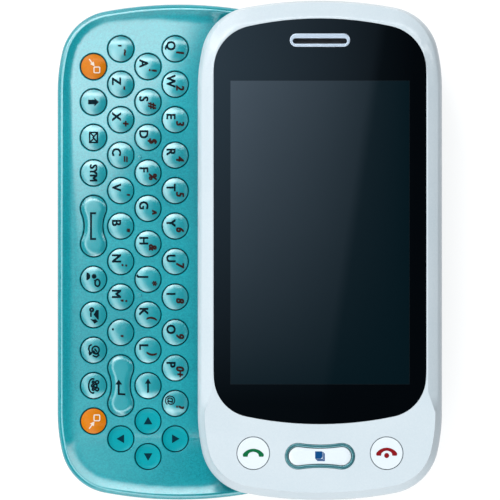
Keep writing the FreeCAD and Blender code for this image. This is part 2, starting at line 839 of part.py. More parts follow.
def loft(body, sections, ruled, subtractive=False):
    volume = volume_of(body)
    kind = "PartDesign::SubtractiveLoft" if subtractive else "PartDesign::AdditiveLoft"
    feature = body.newObject(kind, "Loft")
    feature.Profile = sections[0]
    feature.Sections = sections[1:]
    feature.Ruled = ruled
    return settle(body, feature, subtractive, volume)


def revolve(body, profile):
    """A full turn of a half section about the sketch's vertical axis."""
    volume = volume_of(body)
    feature = body.newObject("PartDesign::Revolution", "Revolution")
    feature.Profile = profile
    feature.ReferenceAxis = (profile, ["V_Axis"])
    feature.Angle = 360
    return settle(body, feature, False, volume)


def row_of(body, feature, pitch, count):
    """Repeats a feature count times towards -Y."""
    pattern = body.newObject("PartDesign::LinearPattern", "Row")
    pattern.Originals = [feature]
    axis = [f for f in body.Origin.OriginFeatures if f.Role == "Y_Axis"][0]
    pattern.Direction = (axis, [""])
    pattern.Reversed = True
    length = pitch * (count - 1)
    pattern.Length = length.value
    pattern.setExpression("Length", length.text)
    pattern.Occurrences = count
    return settle(body, pattern, False, volume_of(body))


def flat_edges(shape, height, wanted=None):
    """Names of the edges that lie at one height, those that wanted accepts."""
    names = []
    for number, edge in enumerate(shape.Edges, start=1):
        box = edge.BoundBox
        level = abs(box.ZMin - height.value) < 1e-4 and abs(box.ZMax - height.value) < 1e-4
        if level and (wanted is None or wanted(edge)):
            names.append(f"Edge{number}")
    return names


def upright_edges(shape, height):
    """Names of the edges that run up a block of the given height."""
    return [
        f"Edge{n}"
        for n, edge in enumerate(shape.Edges, start=1)
        if edge.BoundBox.ZLength > height.value / 2
    ]


def round_edges(body, names, radius):
    base = body.Tip
    feature = body.newObject("PartDesign::Fillet", "Fillet")
    feature.Base = (base, names)
    feature.Radius = radius.value
    feature.setExpression("Radius", radius.text)
    return settle_edges(body, feature)


def chamfer_edges(body, names, size):
    base = body.Tip
    feature = body.newObject("PartDesign::Chamfer", "Chamfer")
    feature.Base = (base, names)
    feature.Size = size.value
    feature.setExpression("Size", size.text)
    return settle_edges(body, feature)


def settle_edges(body, feature):
    DOCUMENT.recompute()
    if not feature.isValid() or feature.Shape.isNull():
        raise RuntimeError(f"{body.Label}: {feature.Label} failed")
    body.Tip = feature
    return feature


def place(made, x=None, y=None, z=None):
    """Moves a sub-part to a place given by sizes."""
    base = FreeCAD.Vector(*(0 if size is None else size.value for size in (x, y, z)))
    made.Placement = FreeCAD.Placement(base, FreeCAD.Rotation())
    for axis, size in zip("xyz", (x, y, z)):
        if size is not None:
            made.setExpression(f"Placement.Base.{axis}", size.text)
    return made


def on_screen_half(made):
    """The screen half is drawn about its own middle line, then moved by the slide's travel."""
    return place(made, x=S.slide_travel)


def outline_pad(body, name, outline, low, high):
    profile = sketch_on(body, name, height=low)
    add_outline(profile, outline)
    return pad(body, profile, high - low)


def outline_cut(body, name, outline, low, high):
    profile = sketch_on(body, name, height=low)
    add_outline(profile, outline)
    return cut(body, profile, high - low, upward=True)


def block(body, name, left, right, low, high, bottom, top):
    profile = sketch_on(body, name, height=bottom)
    add_rectangle(profile, left, right, low, high)
    return pad(body, profile, top - bottom)


def block_cut(body, name, left, right, low, high, bottom, top):
    profile = sketch_on(body, name, height=bottom)
    add_rectangle(profile, left, right, low, high)
    return cut(body, profile, top - bottom, upward=True)


def discs(body, name, centres, radius, bottom, top):
    profile = sketch_on(body, name, height=bottom)
    for x, y in centres:
        add_circle(profile, x, y, radius)
    return pad(body, profile, top - bottom)


def disc_cut(body, name, centres, radius, bottom, top):
    profile = sketch_on(body, name, height=bottom)
    for x, y in centres:
        add_circle(profile, x, y, radius)
    return cut(body, profile, top - bottom, upward=True)


# ---------------------------------------------------------------- places that parts share

HOUSING_POSTS = [
    (SCREW_SIDE, SCREW_UPPER),
    (SCREW_SIDE, -SCREW_LOWER),
    (INNER_SCREW_SIDE, INNER_SCREW_UPPER),
    (INNER_SCREW_SIDE, -INNER_SCREW_LOWER),
]
TRAY_POSTS = [
    (TRAY_SCREW_SIDE, TRAY_SCREW_PLACE),
    (-TRAY_SCREW_SIDE, TRAY_SCREW_PLACE),
    (TRAY_SCREW_SIDE, -TRAY_SCREW_PLACE),
    (-TRAY_SCREW_SIDE, -TRAY_SCREW_PLACE),
]
FRONT_KEYS = [
    (FRONT_KEY_SIDE, -FRONT_KEY_LINE),
    (-FRONT_KEY_SIDE, -FRONT_KEY_LINE),
]
BAY_HALF_WIDTH = BATTERY_HALF_WIDTH + S.battery_gap
BAY_LOW = BATTERY_LOW - S.battery_gap
BAY_HIGH = BATTERY_HIGH + S.battery_gap
LONG_KEY = LongShape(KEY_PLACE_PITCH / 2, S.key_radius, S.long_key_waist)
MENU_KEY = LongShape(S.menu_lobe_spread, S.menu_lobe_radius, S.menu_waist)
HOLE_RADIUS = S.key_radius + S.key_gap
FLANGE_RADIUS = HOLE_RADIUS + S.key_flange_lip
KEY_CELL_RADIUS = FLANGE_RADIUS + S.clearance
BASE_SCREWS = [
    (BASE_PLATE_LEFT + S.post_radius, BASE_PLATE_HALF_LENGTH / 2),
    (BASE_PLATE_RIGHT - S.post_radius, BASE_PLATE_HALF_LENGTH / 2),
    (BASE_PLATE_LEFT + S.post_radius, -BASE_PLATE_HALF_LENGTH / 2),
    (BASE_PLATE_RIGHT - S.post_radius, -BASE_PLATE_HALF_LENGTH / 2),
]


def round_key_centres():
    centres = []
    for _, line, first, count in ROUND_KEYS:
        centres += [(line_x(line), place_y(line, first + n)) for n in range(count)]
    return centres


def arrow_key_centres():
    return [(line_x(line), place_y(line, number)) for _, line, number in ARROW_KEYS]


def long_key_centres():
    return [
        (line_x(line), place_y(line, number) - KEY_PLACE_PITCH / 2)
        for _, line, number in LONG_KEYS
    ]


KEY_FIELD = (
    line_x(KEY_LINES - 1) - FLANGE_RADIUS - S.key_field_margin,
    line_x(0) + FLANGE_RADIUS + S.key_field_margin,
    place_y(1, KEY_PLACES - 1) - FLANGE_RADIUS - S.key_field_margin,
    place_y(0, 0) + FLANGE_RADIUS + S.key_field_margin,
)


# ---------------------------------------------------------------- keyboard half: case


def cover_shape(made, by):
    """The battery cover's outline: a rectangle with rounded corners, grown by a gap."""
    right = COVER_HALF_WIDTH + by
    high = COVER_UPPER_END + by
    low = -(COVER_LOWER_END + by)
    radius = S.cover_corner_radius + by
    x, top, bottom, r = right.value, high.value, low.value, radius.value
    quarter = math.pi / 2

    def side(x_from, y_from, x_to, y_to):
        start = FreeCAD.Vector(x_from, y_from, 0)
        return Part.LineSegment(start, FreeCAD.Vector(x_to, y_to, 0))

    indices = tangent_loop(
        made,
        [
            side(x, bottom + r, x, top - r),
            arc((x - r, top - r), r, 0, quarter),
            side(x - r, top, -x + r, top),
            arc((-x + r, top - r), r, quarter, 2 * quarter),
            side(-x, top - r, -x, bottom + r),
            arc((-x + r, bottom + r), r, 2 * quarter, 3 * quarter),
            side(-x + r, bottom, x - r, bottom),
            arc((x - r, bottom + r), r, 3 * quarter, 4 * quarter),
        ],
    )
    corners = [
        (1, right - radius, high - radius),
        (3, -(right - radius), high - radius),
        (5, -(right - radius), low + radius),
        (7, right - radius, low + radius),
    ]
    for number, centre_x, centre_y in corners:
        pin_point(made, indices[number], 3, centre_x, centre_y)
        dimension(made, "Radius", (indices[number],), radius)


def make_rear_housing():
    body = new_body("rear_housing")
    outline_pad(body, "HousingOutline", KEYBOARD_OUTLINE, ZERO, Z_PARTING)
    round_edges(body, flat_edges(body.Shape, ZERO), S.back_edge_radius)
    # inside: everything between the wall and the battery bay, down to the floor
    inside = sketch_on(body, "Inside", height=Z_FLOOR)
    add_outline(inside, inset(KEYBOARD_OUTLINE, S.wall))
    add_rectangle(
        inside,
        -(BAY_HALF_WIDTH + S.bay_wall),
        BAY_HALF_WIDTH + S.bay_wall,
        BAY_LOW - S.bay_wall,
        BAY_HIGH + S.bay_wall,
    )
    cut(body, inside, Z_PARTING - Z_FLOOR, upward=True)
    block_cut(
        body,
        "BayTop",
        -(BAY_HALF_WIDTH + S.bay_wall),
        BAY_HALF_WIDTH + S.bay_wall,
        BAY_LOW - S.bay_wall,
        BAY_HIGH + S.bay_wall,
        Z_BOARD,
        Z_PARTING,
    )
    block_cut(
        body, "Bay", -BAY_HALF_WIDTH, BAY_HALF_WIDTH, BAY_LOW, BAY_HIGH, ZERO, Z_BAY_TOP
    )
    recess = sketch_on(body, "CoverRecess", height=ZERO)
    cover_shape(recess, S.cover_gap)
    cut(body, recess, Z_RECESS, upward=True)
    disc_cut(
        body, "ScrewHoles", HOUSING_POSTS, S.screw_shank_radius + S.clearance, ZERO, Z_FLOOR
    )
    head_top = Z_FLOOR - S.screw_seat
    disc_cut(
        body, "ScrewHeads", HOUSING_POSTS, S.screw_head_radius + S.clearance, Z_RECESS, head_top
    )
    lens = [(-S.camera_side, CAMERA_PLACE)]
    seat_top = S.lens_thickness + S.clearance
    disc_cut(body, "LensSeat", lens, S.lens_radius + S.clearance, ZERO, seat_top)
    disc_cut(body, "LensHole", lens, S.camera_barrel_radius + S.clearance, ZERO, Z_FLOOR)
    make_sound_slots(body)
    make_side_openings(body)


def make_sound_slots(body):
    """Slots through the back under the loudspeaker."""
    slots = sketch_on(body, "SoundSlots", height=ZERO)
    half = S.speaker_half_length - S.sound_slot_pitch / 2
    for number in range(SOUND_SLOTS):
        x = S.speaker_side + S.sound_slot_pitch * (number - (SOUND_SLOTS - 1) / 2)
        add_rectangle(
            slots,
            x - S.sound_slot_width / 2,
            x + S.sound_slot_width / 2,
            SPEAKER_PLACE - half,
            SPEAKER_PLACE + half,
        )
    cut(body, slots, Z_FLOOR, upward=True)


def make_side_openings(body):
    """Openings in the right wall for the keys, in the left wall for data, in the end for audio."""
    low = S.side_key_middle - S.side_key_height / 2 - S.side_key_gap
    high = S.side_key_middle + S.side_key_height / 2 + S.side_key_gap
    for name, centre, half in (
        ("VolumeSlot", S.volume_key_centre, S.volume_key_half_length),
        ("CameraSlot", -CAMERA_KEY_CENTRE, S.camera_key_half_length),
    ):
        block_cut(
            body,
            name,
            INNER_WALL - S.clearance,
            S.case_half_width + S.wall,
            centre - half - S.side_key_gap,
            centre + half + S.side_key_gap,
            low,
            high,
        )
    usb_top = Z_BOARD - S.clearance
    block_cut(
        body,
        "UsbOpening",
        -(S.case_half_width + S.wall),
        -(INNER_WALL - S.clearance),
        USB_PLACE - S.usb_half_width - S.clearance,
        USB_PLACE + S.usb_half_width + S.clearance,
        usb_top - S.usb_height - S.clearance,
        usb_top + S.clearance,
    )
    bore = sketch_on(body, "JackBore", "XZ_Plane", height=-(S.case_end + S.wall))
    add_circle(bore, JACK_SIDE, JACK_Z, S.jack_bore_radius + S.jack_wall + S.clearance)
    cut(body, bore, S.jack_length, upward=True)


JACK_Z = Z_FLOOR + S.jack_lift + S.jack_bore_radius + S.jack_wall


def make_battery_cover():
    body = new_body("battery_cover")
    profile = sketch_on(body, "CoverOutline")
    cover_shape(profile, ZERO)
    pad(body, profile, S.cover_thickness)
    round_edges(body, flat_edges(body.Shape, ZERO), S.cover_edge_radius)
    # a nail notch at the lower end
    block_cut(
        body,
        "Notch",
        -S.notch_half_width,
        S.notch_half_width,
        -COVER_LOWER_END - S.cover_gap,
        -COVER_LOWER_END + S.notch_depth,
        ZERO,
        S.notch_height,
    )


def make_battery():
    body = new_body("battery")
    block(
        body,
        "Cell",
        -BATTERY_HALF_WIDTH,
        BATTERY_HALF_WIDTH,
        BATTERY_LOW,
        BATTERY_HIGH,
        Z_BATTERY,
        Z_BATTERY + S.battery_thickness,
    )
    upright = upright_edges(body.Shape, S.battery_thickness)
    round_edges(body, upright, S.battery_corner_radius)


def make_main_board():
    body = new_body("main_board", several=True)
    profile = sketch_on(body, "BoardOutline", height=Z_BOARD)
    add_outline(profile, inset(KEYBOARD_OUTLINE, S.wall + S.board_edge_gap))
    for x, y in HOUSING_POSTS:
        add_circle(profile, x, y, S.post_radius + S.clearance * 2)
    pad(body, profile, S.board_thickness)
    jack_half = S.jack_bore_radius + S.jack_wall + S.clearance * 2
    block_cut(
        body,
        "JackCutout",
        JACK_SIDE - jack_half,
        JACK_SIDE + jack_half,
        JACK_INNER - S.clearance * 2,
        S.case_end,
        Z_BOARD,
        Z_BOARD_TOP,
    )
    # shield can below the board, and the side keys' stand and switches at its right edge
    block(
        body,
        "ShieldCan",
        CAN_LEFT,
        CAN_RIGHT,
        BELOW_BAY - S.bay_parts_length,
        BELOW_BAY,
        Z_BOARD - S.card_holder_thickness,
        Z_BOARD,
    )
    for name, centre, face in (
        ("VolumeStand", S.volume_key_centre, PIVOT_FACE),
        ("VolumeUpSwitch", S.volume_key_centre + S.volume_switch_reach, ROCKER_FACE),
        ("VolumeDownSwitch", S.volume_key_centre - S.volume_switch_reach, ROCKER_FACE),
        ("CameraSwitch", -CAMERA_KEY_CENTRE, PIVOT_FACE - S.key_travel),
    ):
        block(
            body,
            name,
            face - S.switch_depth,
            face,
            centre - S.switch_half_width,
            centre + S.switch_half_width,
            S.side_key_middle - S.side_key_height / 4,
            Z_BOARD,
        )


JACK_INNER = JACK_END - S.jack_length
BELOW_BAY = BAY_LOW - S.bay_wall - S.bay_parts_gap
CAN_RIGHT = MOTOR_SIDE - S.motor_radius - S.can_motor_gap
CAN_LEFT = CAN_RIGHT - S.can_width
SIDE_FLANGE_OUT = INNER_WALL - S.side_key_room
SIDE_FLANGE_IN = SIDE_FLANGE_OUT - S.side_key_flange_thickness
PIVOT_FACE = SIDE_FLANGE_IN - S.pivot_radius - S.key_rest_gap
ROCKER_FACE = SIDE_FLANGE_IN - S.key_travel


def make_keyboard_deck():
    body = new_body("keyboard_deck")
    outline_pad(body, "DeckOutline", KEYBOARD_OUTLINE, Z_PARTING, Z_RIM)
    round_edges(body, flat_edges(body.Shape, Z_RIM), S.rim_edge_radius)
    sections = []
    for number in range(DISH_SECTIONS):
        share = number / (DISH_SECTIONS - 1)
        section = sketch_on(
            body, f"Dish{number}", height=Z_DECK + S.dish_depth * (1 - share) ** 2
        )
        add_outline(
            section, inset(KEYBOARD_OUTLINE, S.rim_width + S.dish_slope_width * share)
        )
        sections.append(section)
    loft(body, sections, ruled=False, subtractive=True)
    # underside: shallow all over, deeper under the keys
    outline_cut(body, "Under", inset(KEYBOARD_OUTLINE, S.wall), Z_PARTING, Z_STEP_UNDER)
    block_cut(body, "UnderKeys", *KEY_FIELD, Z_STEP_UNDER, Z_DECK_UNDER)
    # the slide's base plate lies in a recess beside the keys
    block_cut(
        body,
        "PlateRecess",
        BASE_PLATE_LEFT - S.clearance,
        BASE_PLATE_RIGHT + S.clearance,
        -BASE_PLATE_HALF_LENGTH - S.clearance,
        BASE_PLATE_HALF_LENGTH + S.clearance,
        Z_PLATE,
        Z_RIM,
    )
    holes = sketch_on(body, "KeyHoles", height=Z_DECK_UNDER)
    for x, y in round_key_centres() + arrow_key_centres():
        add_circle(holes, x, y, HOLE_RADIUS)
    cut(body, holes, S.deck_thickness + S.dish_depth, upward=True)
    long_holes = sketch_on(body, "LongKeyHoles", height=Z_DECK_UNDER)
    for x, y in long_key_centres():
        add_long_shape(long_holes, grown(LONG_KEY, S.key_gap), x, y, along_y=True)
    cut(body, long_holes, S.deck_thickness + S.dish_depth, upward=True)

    def at_key_hole(edge):
        box = edge.BoundBox
        in_field = box.XMax < KEY_FIELD[1].value and box.XMin > KEY_FIELD[0].value
        return in_field and max(box.XLength, box.YLength) < 2.5 * KEY_PLACE_PITCH.value

    chamfer_edges(body, flat_edges(body.Shape, Z_DECK, at_key_hole), S.key_hole_chamfer)
    add_home_dots(body)
    discs(
        body, "Posts", HOUSING_POSTS, S.post_radius, Z_FLOOR + S.mat_clearance, Z_STEP_UNDER
    )
    disc_cut(
        body, "PostBores", HOUSING_POSTS, S.screw_shank_radius, Z_FLOOR, Z_STEP_UNDER - S.clearance
    )
    disc_cut(
        body, "PlateScrewBores", BASE_SCREWS, S.screw_shank_radius, Z_STEP_UNDER, Z_PLATE
    )
    block_cut(
        body,
        "FlexSlot",
        FLEX_LEFT - S.flex_side_gap,
        FLEX_RIGHT + S.flex_side_gap,
        -S.flex_slot_half_width,
        S.flex_slot_half_width,
        Z_STEP_UNDER,
        Z_PLATE,
    )


def add_home_dots(body):
    """Two raised dots on the deck that guide the thumbs, level with the middle line of letters."""
    middle = place_y(1, 4) - KEY_PLACE_PITCH / 2
    x = line_x(1) - S.home_dot_offset
    dots = [(x, middle + S.home_dot_spread), (x, middle - S.home_dot_spread)]
    top = Z_DECK + S.home_dot_height
    discs(body, "HomeDots", dots, S.home_dot_radius, Z_DECK, top)
    round_edges(body, flat_edges(body.Shape, top), S.home_dot_edge_radius)


def make_screws(label, centres, head, tip):
    """Slotted screws set from below: a head just under level head, and a shank up to level tip."""
    body = new_body(label, several=True)
    low = head - S.screw_head_height
    discs(body, "Heads", centres, S.screw_head_radius, low, head)
    discs(body, "Shanks", centres, S.screw_shank_radius - S.clearance / 2, head, tip)
    slots = sketch_on(body, "Drives", height=low)
    for x, y in centres:
        add_rectangle(
            slots,
            x - S.screw_shank_radius,
            x + S.screw_shank_radius,
            y - S.drive_half_width,
            y + S.drive_half_width,
        )
    cut(body, slots, S.drive_depth, upward=True)
    return body


def make_housing_screws():
    make_screws(
        "housing_screws", HOUSING_POSTS, Z_FLOOR - S.screw_seat, Z_STEP_UNDER - S.screw_tip_gap
    )


# ---------------------------------------------------------------- keyboard half: keys


def make_dome_sheet():
    body = new_body("key_dome_sheet")
    left, right, low, high = KEY_FIELD
    gap = S.clearance
    block(
        body, "Film", left + gap, right - gap, low + gap, high - gap, Z_BOARD_TOP, Z_FILM_TOP
    )
    centres = round_key_centres() + arrow_key_centres() + long_key_centres()
    discs(body, "Domes", centres, S.dome_radius, Z_FILM_TOP, Z_DOME_TOP)


def make_key_mat():
    body = new_body("key_mat")
    left, right, low, high = KEY_FIELD
    gap = S.clearance
    bottom = Z_FILM_TOP + S.mat_clearance
    profile = sketch_on(body, "Mat", height=bottom)
    add_rectangle(profile, left + gap, right - gap, low + gap, high - gap)
    for x, y in round_key_centres() + arrow_key_centres():
        add_circle(profile, x, y, KEY_CELL_RADIUS)
    for x, y in long_key_centres():
        add_long_shape(
            profile, grown(LONG_KEY, KEY_CELL_RADIUS - S.key_radius), x, y, along_y=True
        )
    pad(body, profile, Z_FLANGE_TOP - bottom)


def key_half_section(body, crowned):
    """Half of a round key: nib, flange, stem, and a crowned or a dished top."""
    made = sketch_on(body, "HalfSection", "XZ_Plane")
    bottom = Z_KEY_BOTTOM
    edge = Z_KEY_EDGE if crowned else Z_DECK - S.arrow_key_sink
    middle = Z_KEY_TOP if crowned else edge - S.arrow_key_dish
    corners = [
        (ZERO, bottom),
        (S.key_nib_radius, bottom),
        (S.key_nib_radius, Z_FLANGE),
        (FLANGE_RADIUS, Z_FLANGE),
        (FLANGE_RADIUS, Z_FLANGE_TOP),
        (S.key_radius, Z_FLANGE_TOP),
        (S.key_radius, edge),
    ]
    if not crowned:
        corners += [(S.arrow_key_flat_radius, middle)]
    corners += [(ZERO, middle)]
    points = [FreeCAD.Vector(x.value, y.value, 0) for x, y in corners]
    pieces = [Part.LineSegment(a, b) for a, b in zip(points, points[1:])]
    if crowned:
        sphere = (S.key_radius * S.key_radius + S.key_crown * S.key_crown) / (S.key_crown * 2)
        centre = middle - sphere
        start = math.atan2((edge - centre).value, S.key_radius.value)
        pieces[-1] = arc((0, centre.value), sphere.value, start, math.pi / 2)
    pieces.append(Part.LineSegment(points[-1], points[0]))
    indices = [made.addGeometry(piece) for piece in pieces]
    for index, following in zip(indices, indices[1:] + indices[:1]):
        made.addConstraint(Sketcher.Constraint("Coincident", index, 2, following, 1))
    for index, (x, y) in zip(indices, corners):
        pin_point(made, index, 1, x, y)
    if crowned:
        dimension(made, "Radius", (indices[-2],), sphere)
    return made


def make_round_keys():
    for label, line, first, count in ROUND_KEYS:
        body = new_body(label, several=count > 1)
        feature = revolve(body, key_half_section(body, crowned=True))
        if count > 1:
            row_of(body, feature, KEY_PLACE_PITCH, count)
        place(body, line_x(line), place_y(line, first))
    for label, line, number in ARROW_KEYS:
        body = new_body(label)
        revolve(body, key_half_section(body, crowned=False))
        place(body, line_x(line), place_y(line, number))


def make_long_keys():
    for (label, _, _), (x, y) in zip(LONG_KEYS, long_key_centres()):
        body = new_body(label)
        discs(body, "Nib", [(ZERO, ZERO)], S.key_nib_radius, Z_KEY_BOTTOM, Z_FLANGE)
        flange = sketch_on(body, "Flange", height=Z_FLANGE)
        flange_shape = grown(LONG_KEY, FLANGE_RADIUS - S.key_radius)
        add_long_shape(flange, flange_shape, along_y=True)
        pad(body, flange, Z_FLANGE_TOP - Z_FLANGE)
        stem = sketch_on(body, "Stem", height=Z_FLANGE_TOP)
        add_long_shape(stem, LONG_KEY, along_y=True)
        pad(body, stem, Z_KEY_EDGE - Z_FLANGE_TOP)
        add_crown(body, LONG_KEY, Z_KEY_EDGE, S.key_crown, S.long_key_crown_inset, True)
        place(body, x, y)


def add_crown(body, shape, bottom, height, width, along_y):
    """A softly crowned top on a long shape, through sections that shrink as they rise."""
    sections = []
    for number in range(KEY_CROWN_SECTIONS):
        share = number / (KEY_CROWN_SECTIONS - 1)
        section = sketch_on(
            body, f"Crown{number}", height=bottom + height * (1 - (1 - share) ** 2)
        )
        add_long_shape(section, grown(shape, -(width * share)), along_y=along_y)
        sections.append(section)
    return loft(body, sections, ruled=False)


# ---------------------------------------------------------------- keyboard half: inside


Z_INNER = Z_FLOOR + S.mat_clearance


def make_camera():
    camera = new_body("camera_module")
    half = S.camera_half_size
    lens_top = S.lens_thickness + S.mat_clearance
    discs(
        camera, "Barrel", [(ZERO, ZERO)], S.camera_barrel_radius, lens_top + S.clearance, Z_INNER
    )
    block(camera, "Sensor", -half, half, -half, half, Z_INNER, Z_INNER + S.camera_height)
    place(camera, -S.camera_side, CAMERA_PLACE)

    lens = new_body("camera_lens")
    centre = [(-S.camera_side, CAMERA_PLACE)]
    discs(lens, "Window", centre, S.lens_radius, S.mat_clearance, lens_top)


def make_loudspeaker():
    body = new_body("loudspeaker")
    wide = S.speaker_half_width
    long = S.speaker_half_length
    block(body, "Frame", -wide, wide, -long, long, Z_INNER, Z_INNER + S.speaker_thickness)
    upright = upright_edges(body.Shape, S.speaker_thickness)
    round_edges(body, upright, S.speaker_corner_radius)
    place(body, S.speaker_side, SPEAKER_PLACE)


def make_vibration_motor():
    body = new_body("vibration_motor")
    top = Z_INNER + S.motor_thickness
    discs(body, "Can", [(ZERO, ZERO)], S.motor_radius, Z_INNER, top)
    round_edges(body, flat_edges(body.Shape, top), S.motor_edge_radius)
    place(body, MOTOR_SIDE, -MOTOR_PLACE)


def make_card_holder():
    body = new_body("card_holder")
    low = BELOW_BAY - S.bay_parts_length
    right = CAN_LEFT - S.card_holder_gap
    left = right - S.card_holder_width
    bottom = Z_BOARD - S.card_holder_thickness
    wall = S.card_holder_wall
    block(body, "Shell", left, right, low, BELOW_BAY, bottom, Z_BOARD)
    block_cut(
        body,
        "CardSlot",
        left + wall,
        right - wall,
        low,
        BELOW_BAY - S.card_stop,
        bottom + wall,
        Z_BOARD - wall,
    )


def make_antenna_carrier():
    body = new_body("antenna_carrier")
    end = -(S.case_end - S.wall - S.antenna_gap)
    wide = S.antenna_half_width
    block(
        body, "Carrier", -wide, wide, end, end + S.antenna_depth, Z_INNER, Z_BOARD - S.clearance
    )


def make_usb_socket():
    """A small data socket that hangs under the board and faces out of the left side."""
    body = new_body("usb_socket")
    shell = S.usb_shell
    bottom = Z_BOARD - S.usb_height
    top = Z_BOARD - S.clearance
    outer = -(S.case_half_width - S.clearance)
    inner = outer + S.usb_depth
    low = USB_PLACE - S.usb_half_width
    high = USB_PLACE + S.usb_half_width
    block(body, "Shell", outer, inner, low, high, bottom, top)
    block_cut(
        body, "Mouth", outer, inner - shell, low + shell, high - shell, bottom + shell, top - shell
    )
    tongue = bottom + shell + S.usb_tongue_lift
    low = USB_PLACE - S.usb_tongue_half_width
    high = USB_PLACE + S.usb_tongue_half_width
    block(
        body,
        "Tongue",
        outer + S.usb_tail,
        inner - shell,
        low,
        high,
        tongue,
        tongue + S.usb_tongue_thickness,
    )
    block(body, "Tail", inner - shell, inner + S.usb_tail, low, high, bottom, Z_BOARD)


def make_headset_socket():
    body = new_body("headset_socket")
    profile = sketch_on(body, "Barrel", "XZ_Plane", height=-JACK_END)
    add_circle(profile, JACK_SIDE, JACK_Z, S.jack_bore_radius + S.jack_wall)
    pad(body, profile, S.jack_length)
    bore = sketch_on(body, "Bore", "XZ_Plane", height=-JACK_END)
    add_circle(bore, JACK_SIDE, JACK_Z, S.jack_bore_radius)
    cut(body, bore, S.jack_length - S.jack_blind_wall, upward=True)


def make_side_keys():
    """A rocking volume key and a sliding camera key in the right wall."""
    low = S.side_key_middle - S.side_key_height / 2
    high = S.side_key_middle + S.side_key_height / 2
    lip = S.side_key_flange_lip
    outer = S.case_half_width + S.side_key_proud
    for label, centre, half in (
        ("volume_key", S.volume_key_centre, S.volume_key_half_length),
        ("camera_key", -CAMERA_KEY_CENTRE, S.camera_key_half_length),
    ):
        body = new_body(label)
        block(body, "Cap", SIDE_FLANGE_OUT, outer, centre - half, centre + half, low, high)
        outer_edges = [
            f"Edge{n}"
            for n, edge in enumerate(body.Shape.Edges, start=1)
            if edge.BoundBox.XMin > outer.value - 1e-4
        ]
        round_edges(body, outer_edges, S.side_key_edge_radius)
        block(
            body, "Flange", SIDE_FLANGE_IN, SIDE_FLANGE_OUT, centre - half - lip,
            centre + half + lip, low - lip, high + lip,
        )
        # the round back bears on the switch, and the volume key rocks about it
        discs(body, "Back", [(SIDE_FLANGE_IN, centre)], S.pivot_radius, low, high)


# ---------------------------------------------------------------- the slide


def make_base_plate():
    body = new_body("slide_base_plate")
    profile = sketch_on(body, "Plate", height=Z_PLATE)
    add_rectangle(
        profile,
        BASE_PLATE_LEFT,
        BASE_PLATE_RIGHT,
        -BASE_PLATE_HALF_LENGTH,
        BASE_PLATE_HALF_LENGTH,
    )
    for x, y in BASE_SCREWS:
        add_circle(profile, x, y, S.screw_shank_radius + S.clearance)
    add_rectangle(
        profile,
        FLEX_LEFT - S.flex_side_gap,
        FLEX_RIGHT + S.flex_side_gap,
        -S.flex_slot_half_width,
        S.flex_slot_half_width,
    )
    pad(body, profile, S.plate_thickness)

    screws = new_body("base_plate_screws", several=True)
    discs(
        screws, "Heads", BASE_SCREWS, S.screw_head_radius, Z_PLATE_TOP,
        Z_PLATE_TOP + S.flat_head_height,
    )
    discs(
        screws, "Shanks", BASE_SCREWS, S.screw_shank_radius - S.clearance / 2,
        Z_STEP_UNDER + S.clearance, Z_PLATE_TOP,
    )


def make_shoes():
    """Two guide shoes on the base plate. Each neck runs in a slot of the screen half."""
    body = new_body("slide_shoes", several=True)
    shoulder_top = Z_TRAY_FLOOR - S.guide_clearance
    neck_top = Z_CARRIAGE_TOP + S.guide_clearance
    head_top = neck_top + S.shoe_head_height
    foot_top = Z_PLATE_TOP + S.shoe_foot_height
    levels = [
        ("Feet", S.shoe_foot_width, Z_PLATE_TOP, foot_top),
        ("Shoulders", S.shoe_shoulder_width, foot_top, shoulder_top),
        ("Necks", S.shoe_neck_width, shoulder_top, neck_top),
        ("Heads", S.shoe_head_width, neck_top, head_top),
    ]
    for name, width, bottom, top in levels:
        profile = sketch_on(body, name, height=bottom)
        for line in (SHOE_LINE, -SHOE_LINE):
            add_rectangle(
                profile, SHOE_LEFT, SHOE_RIGHT, line - width / 2, line + width / 2
            )
        pad(body, profile, top - bottom)
    ears = sketch_on(body, "Ears", height=neck_top)
    inner = SHOE_LINE - S.shoe_head_width / 2
    reach = EAR_LINE - S.shoe_ear_margin
    half = S.shoe_ear_half_width
    add_rectangle(ears, SHOE_MIDDLE - half, SHOE_MIDDLE + half, reach, inner)
    add_rectangle(ears, SHOE_MIDDLE - half, SHOE_MIDDLE + half, -inner, -reach)
    pad(body, ears, S.shoe_ear_thickness)
    pins = [(SHOE_MIDDLE, EAR_LINE), (SHOE_MIDDLE, -EAR_LINE)]
    discs(body, "Pins", pins, S.pin_radius, neck_top, Z_CARRIAGE_TOP + S.pin_height)


EAR_LINE = SHOE_LINE - S.shoe_head_width / 2 - S.shoe_ear_reach
FLEX_SLOT_LEFT = FLEX_LEFT - S.slide_travel - S.flex_side_gap
FLEX_SLOT_RIGHT = FLEX_RIGHT + S.flex_side_gap
ANCHOR_X = SHOE_MIDDLE - S.slide_travel / 2
STAKES = [
    (TRAY_SCREW_SIDE, STAKE_PLACE),
    (-TRAY_SCREW_SIDE, STAKE_PLACE),
    (TRAY_SCREW_SIDE, -STAKE_PLACE),
    (-TRAY_SCREW_SIDE, -STAKE_PLACE),
]


def add_slide_slots(profile, shoulder_half, flex_half):
    for line in (SHOE_LINE, -SHOE_LINE):
        add_rectangle(
            profile, SLOT_LEFT, SLOT_RIGHT, line - shoulder_half, line + shoulder_half
        )
    add_rectangle(profile, FLEX_SLOT_LEFT, FLEX_SLOT_RIGHT, -flex_half, flex_half)


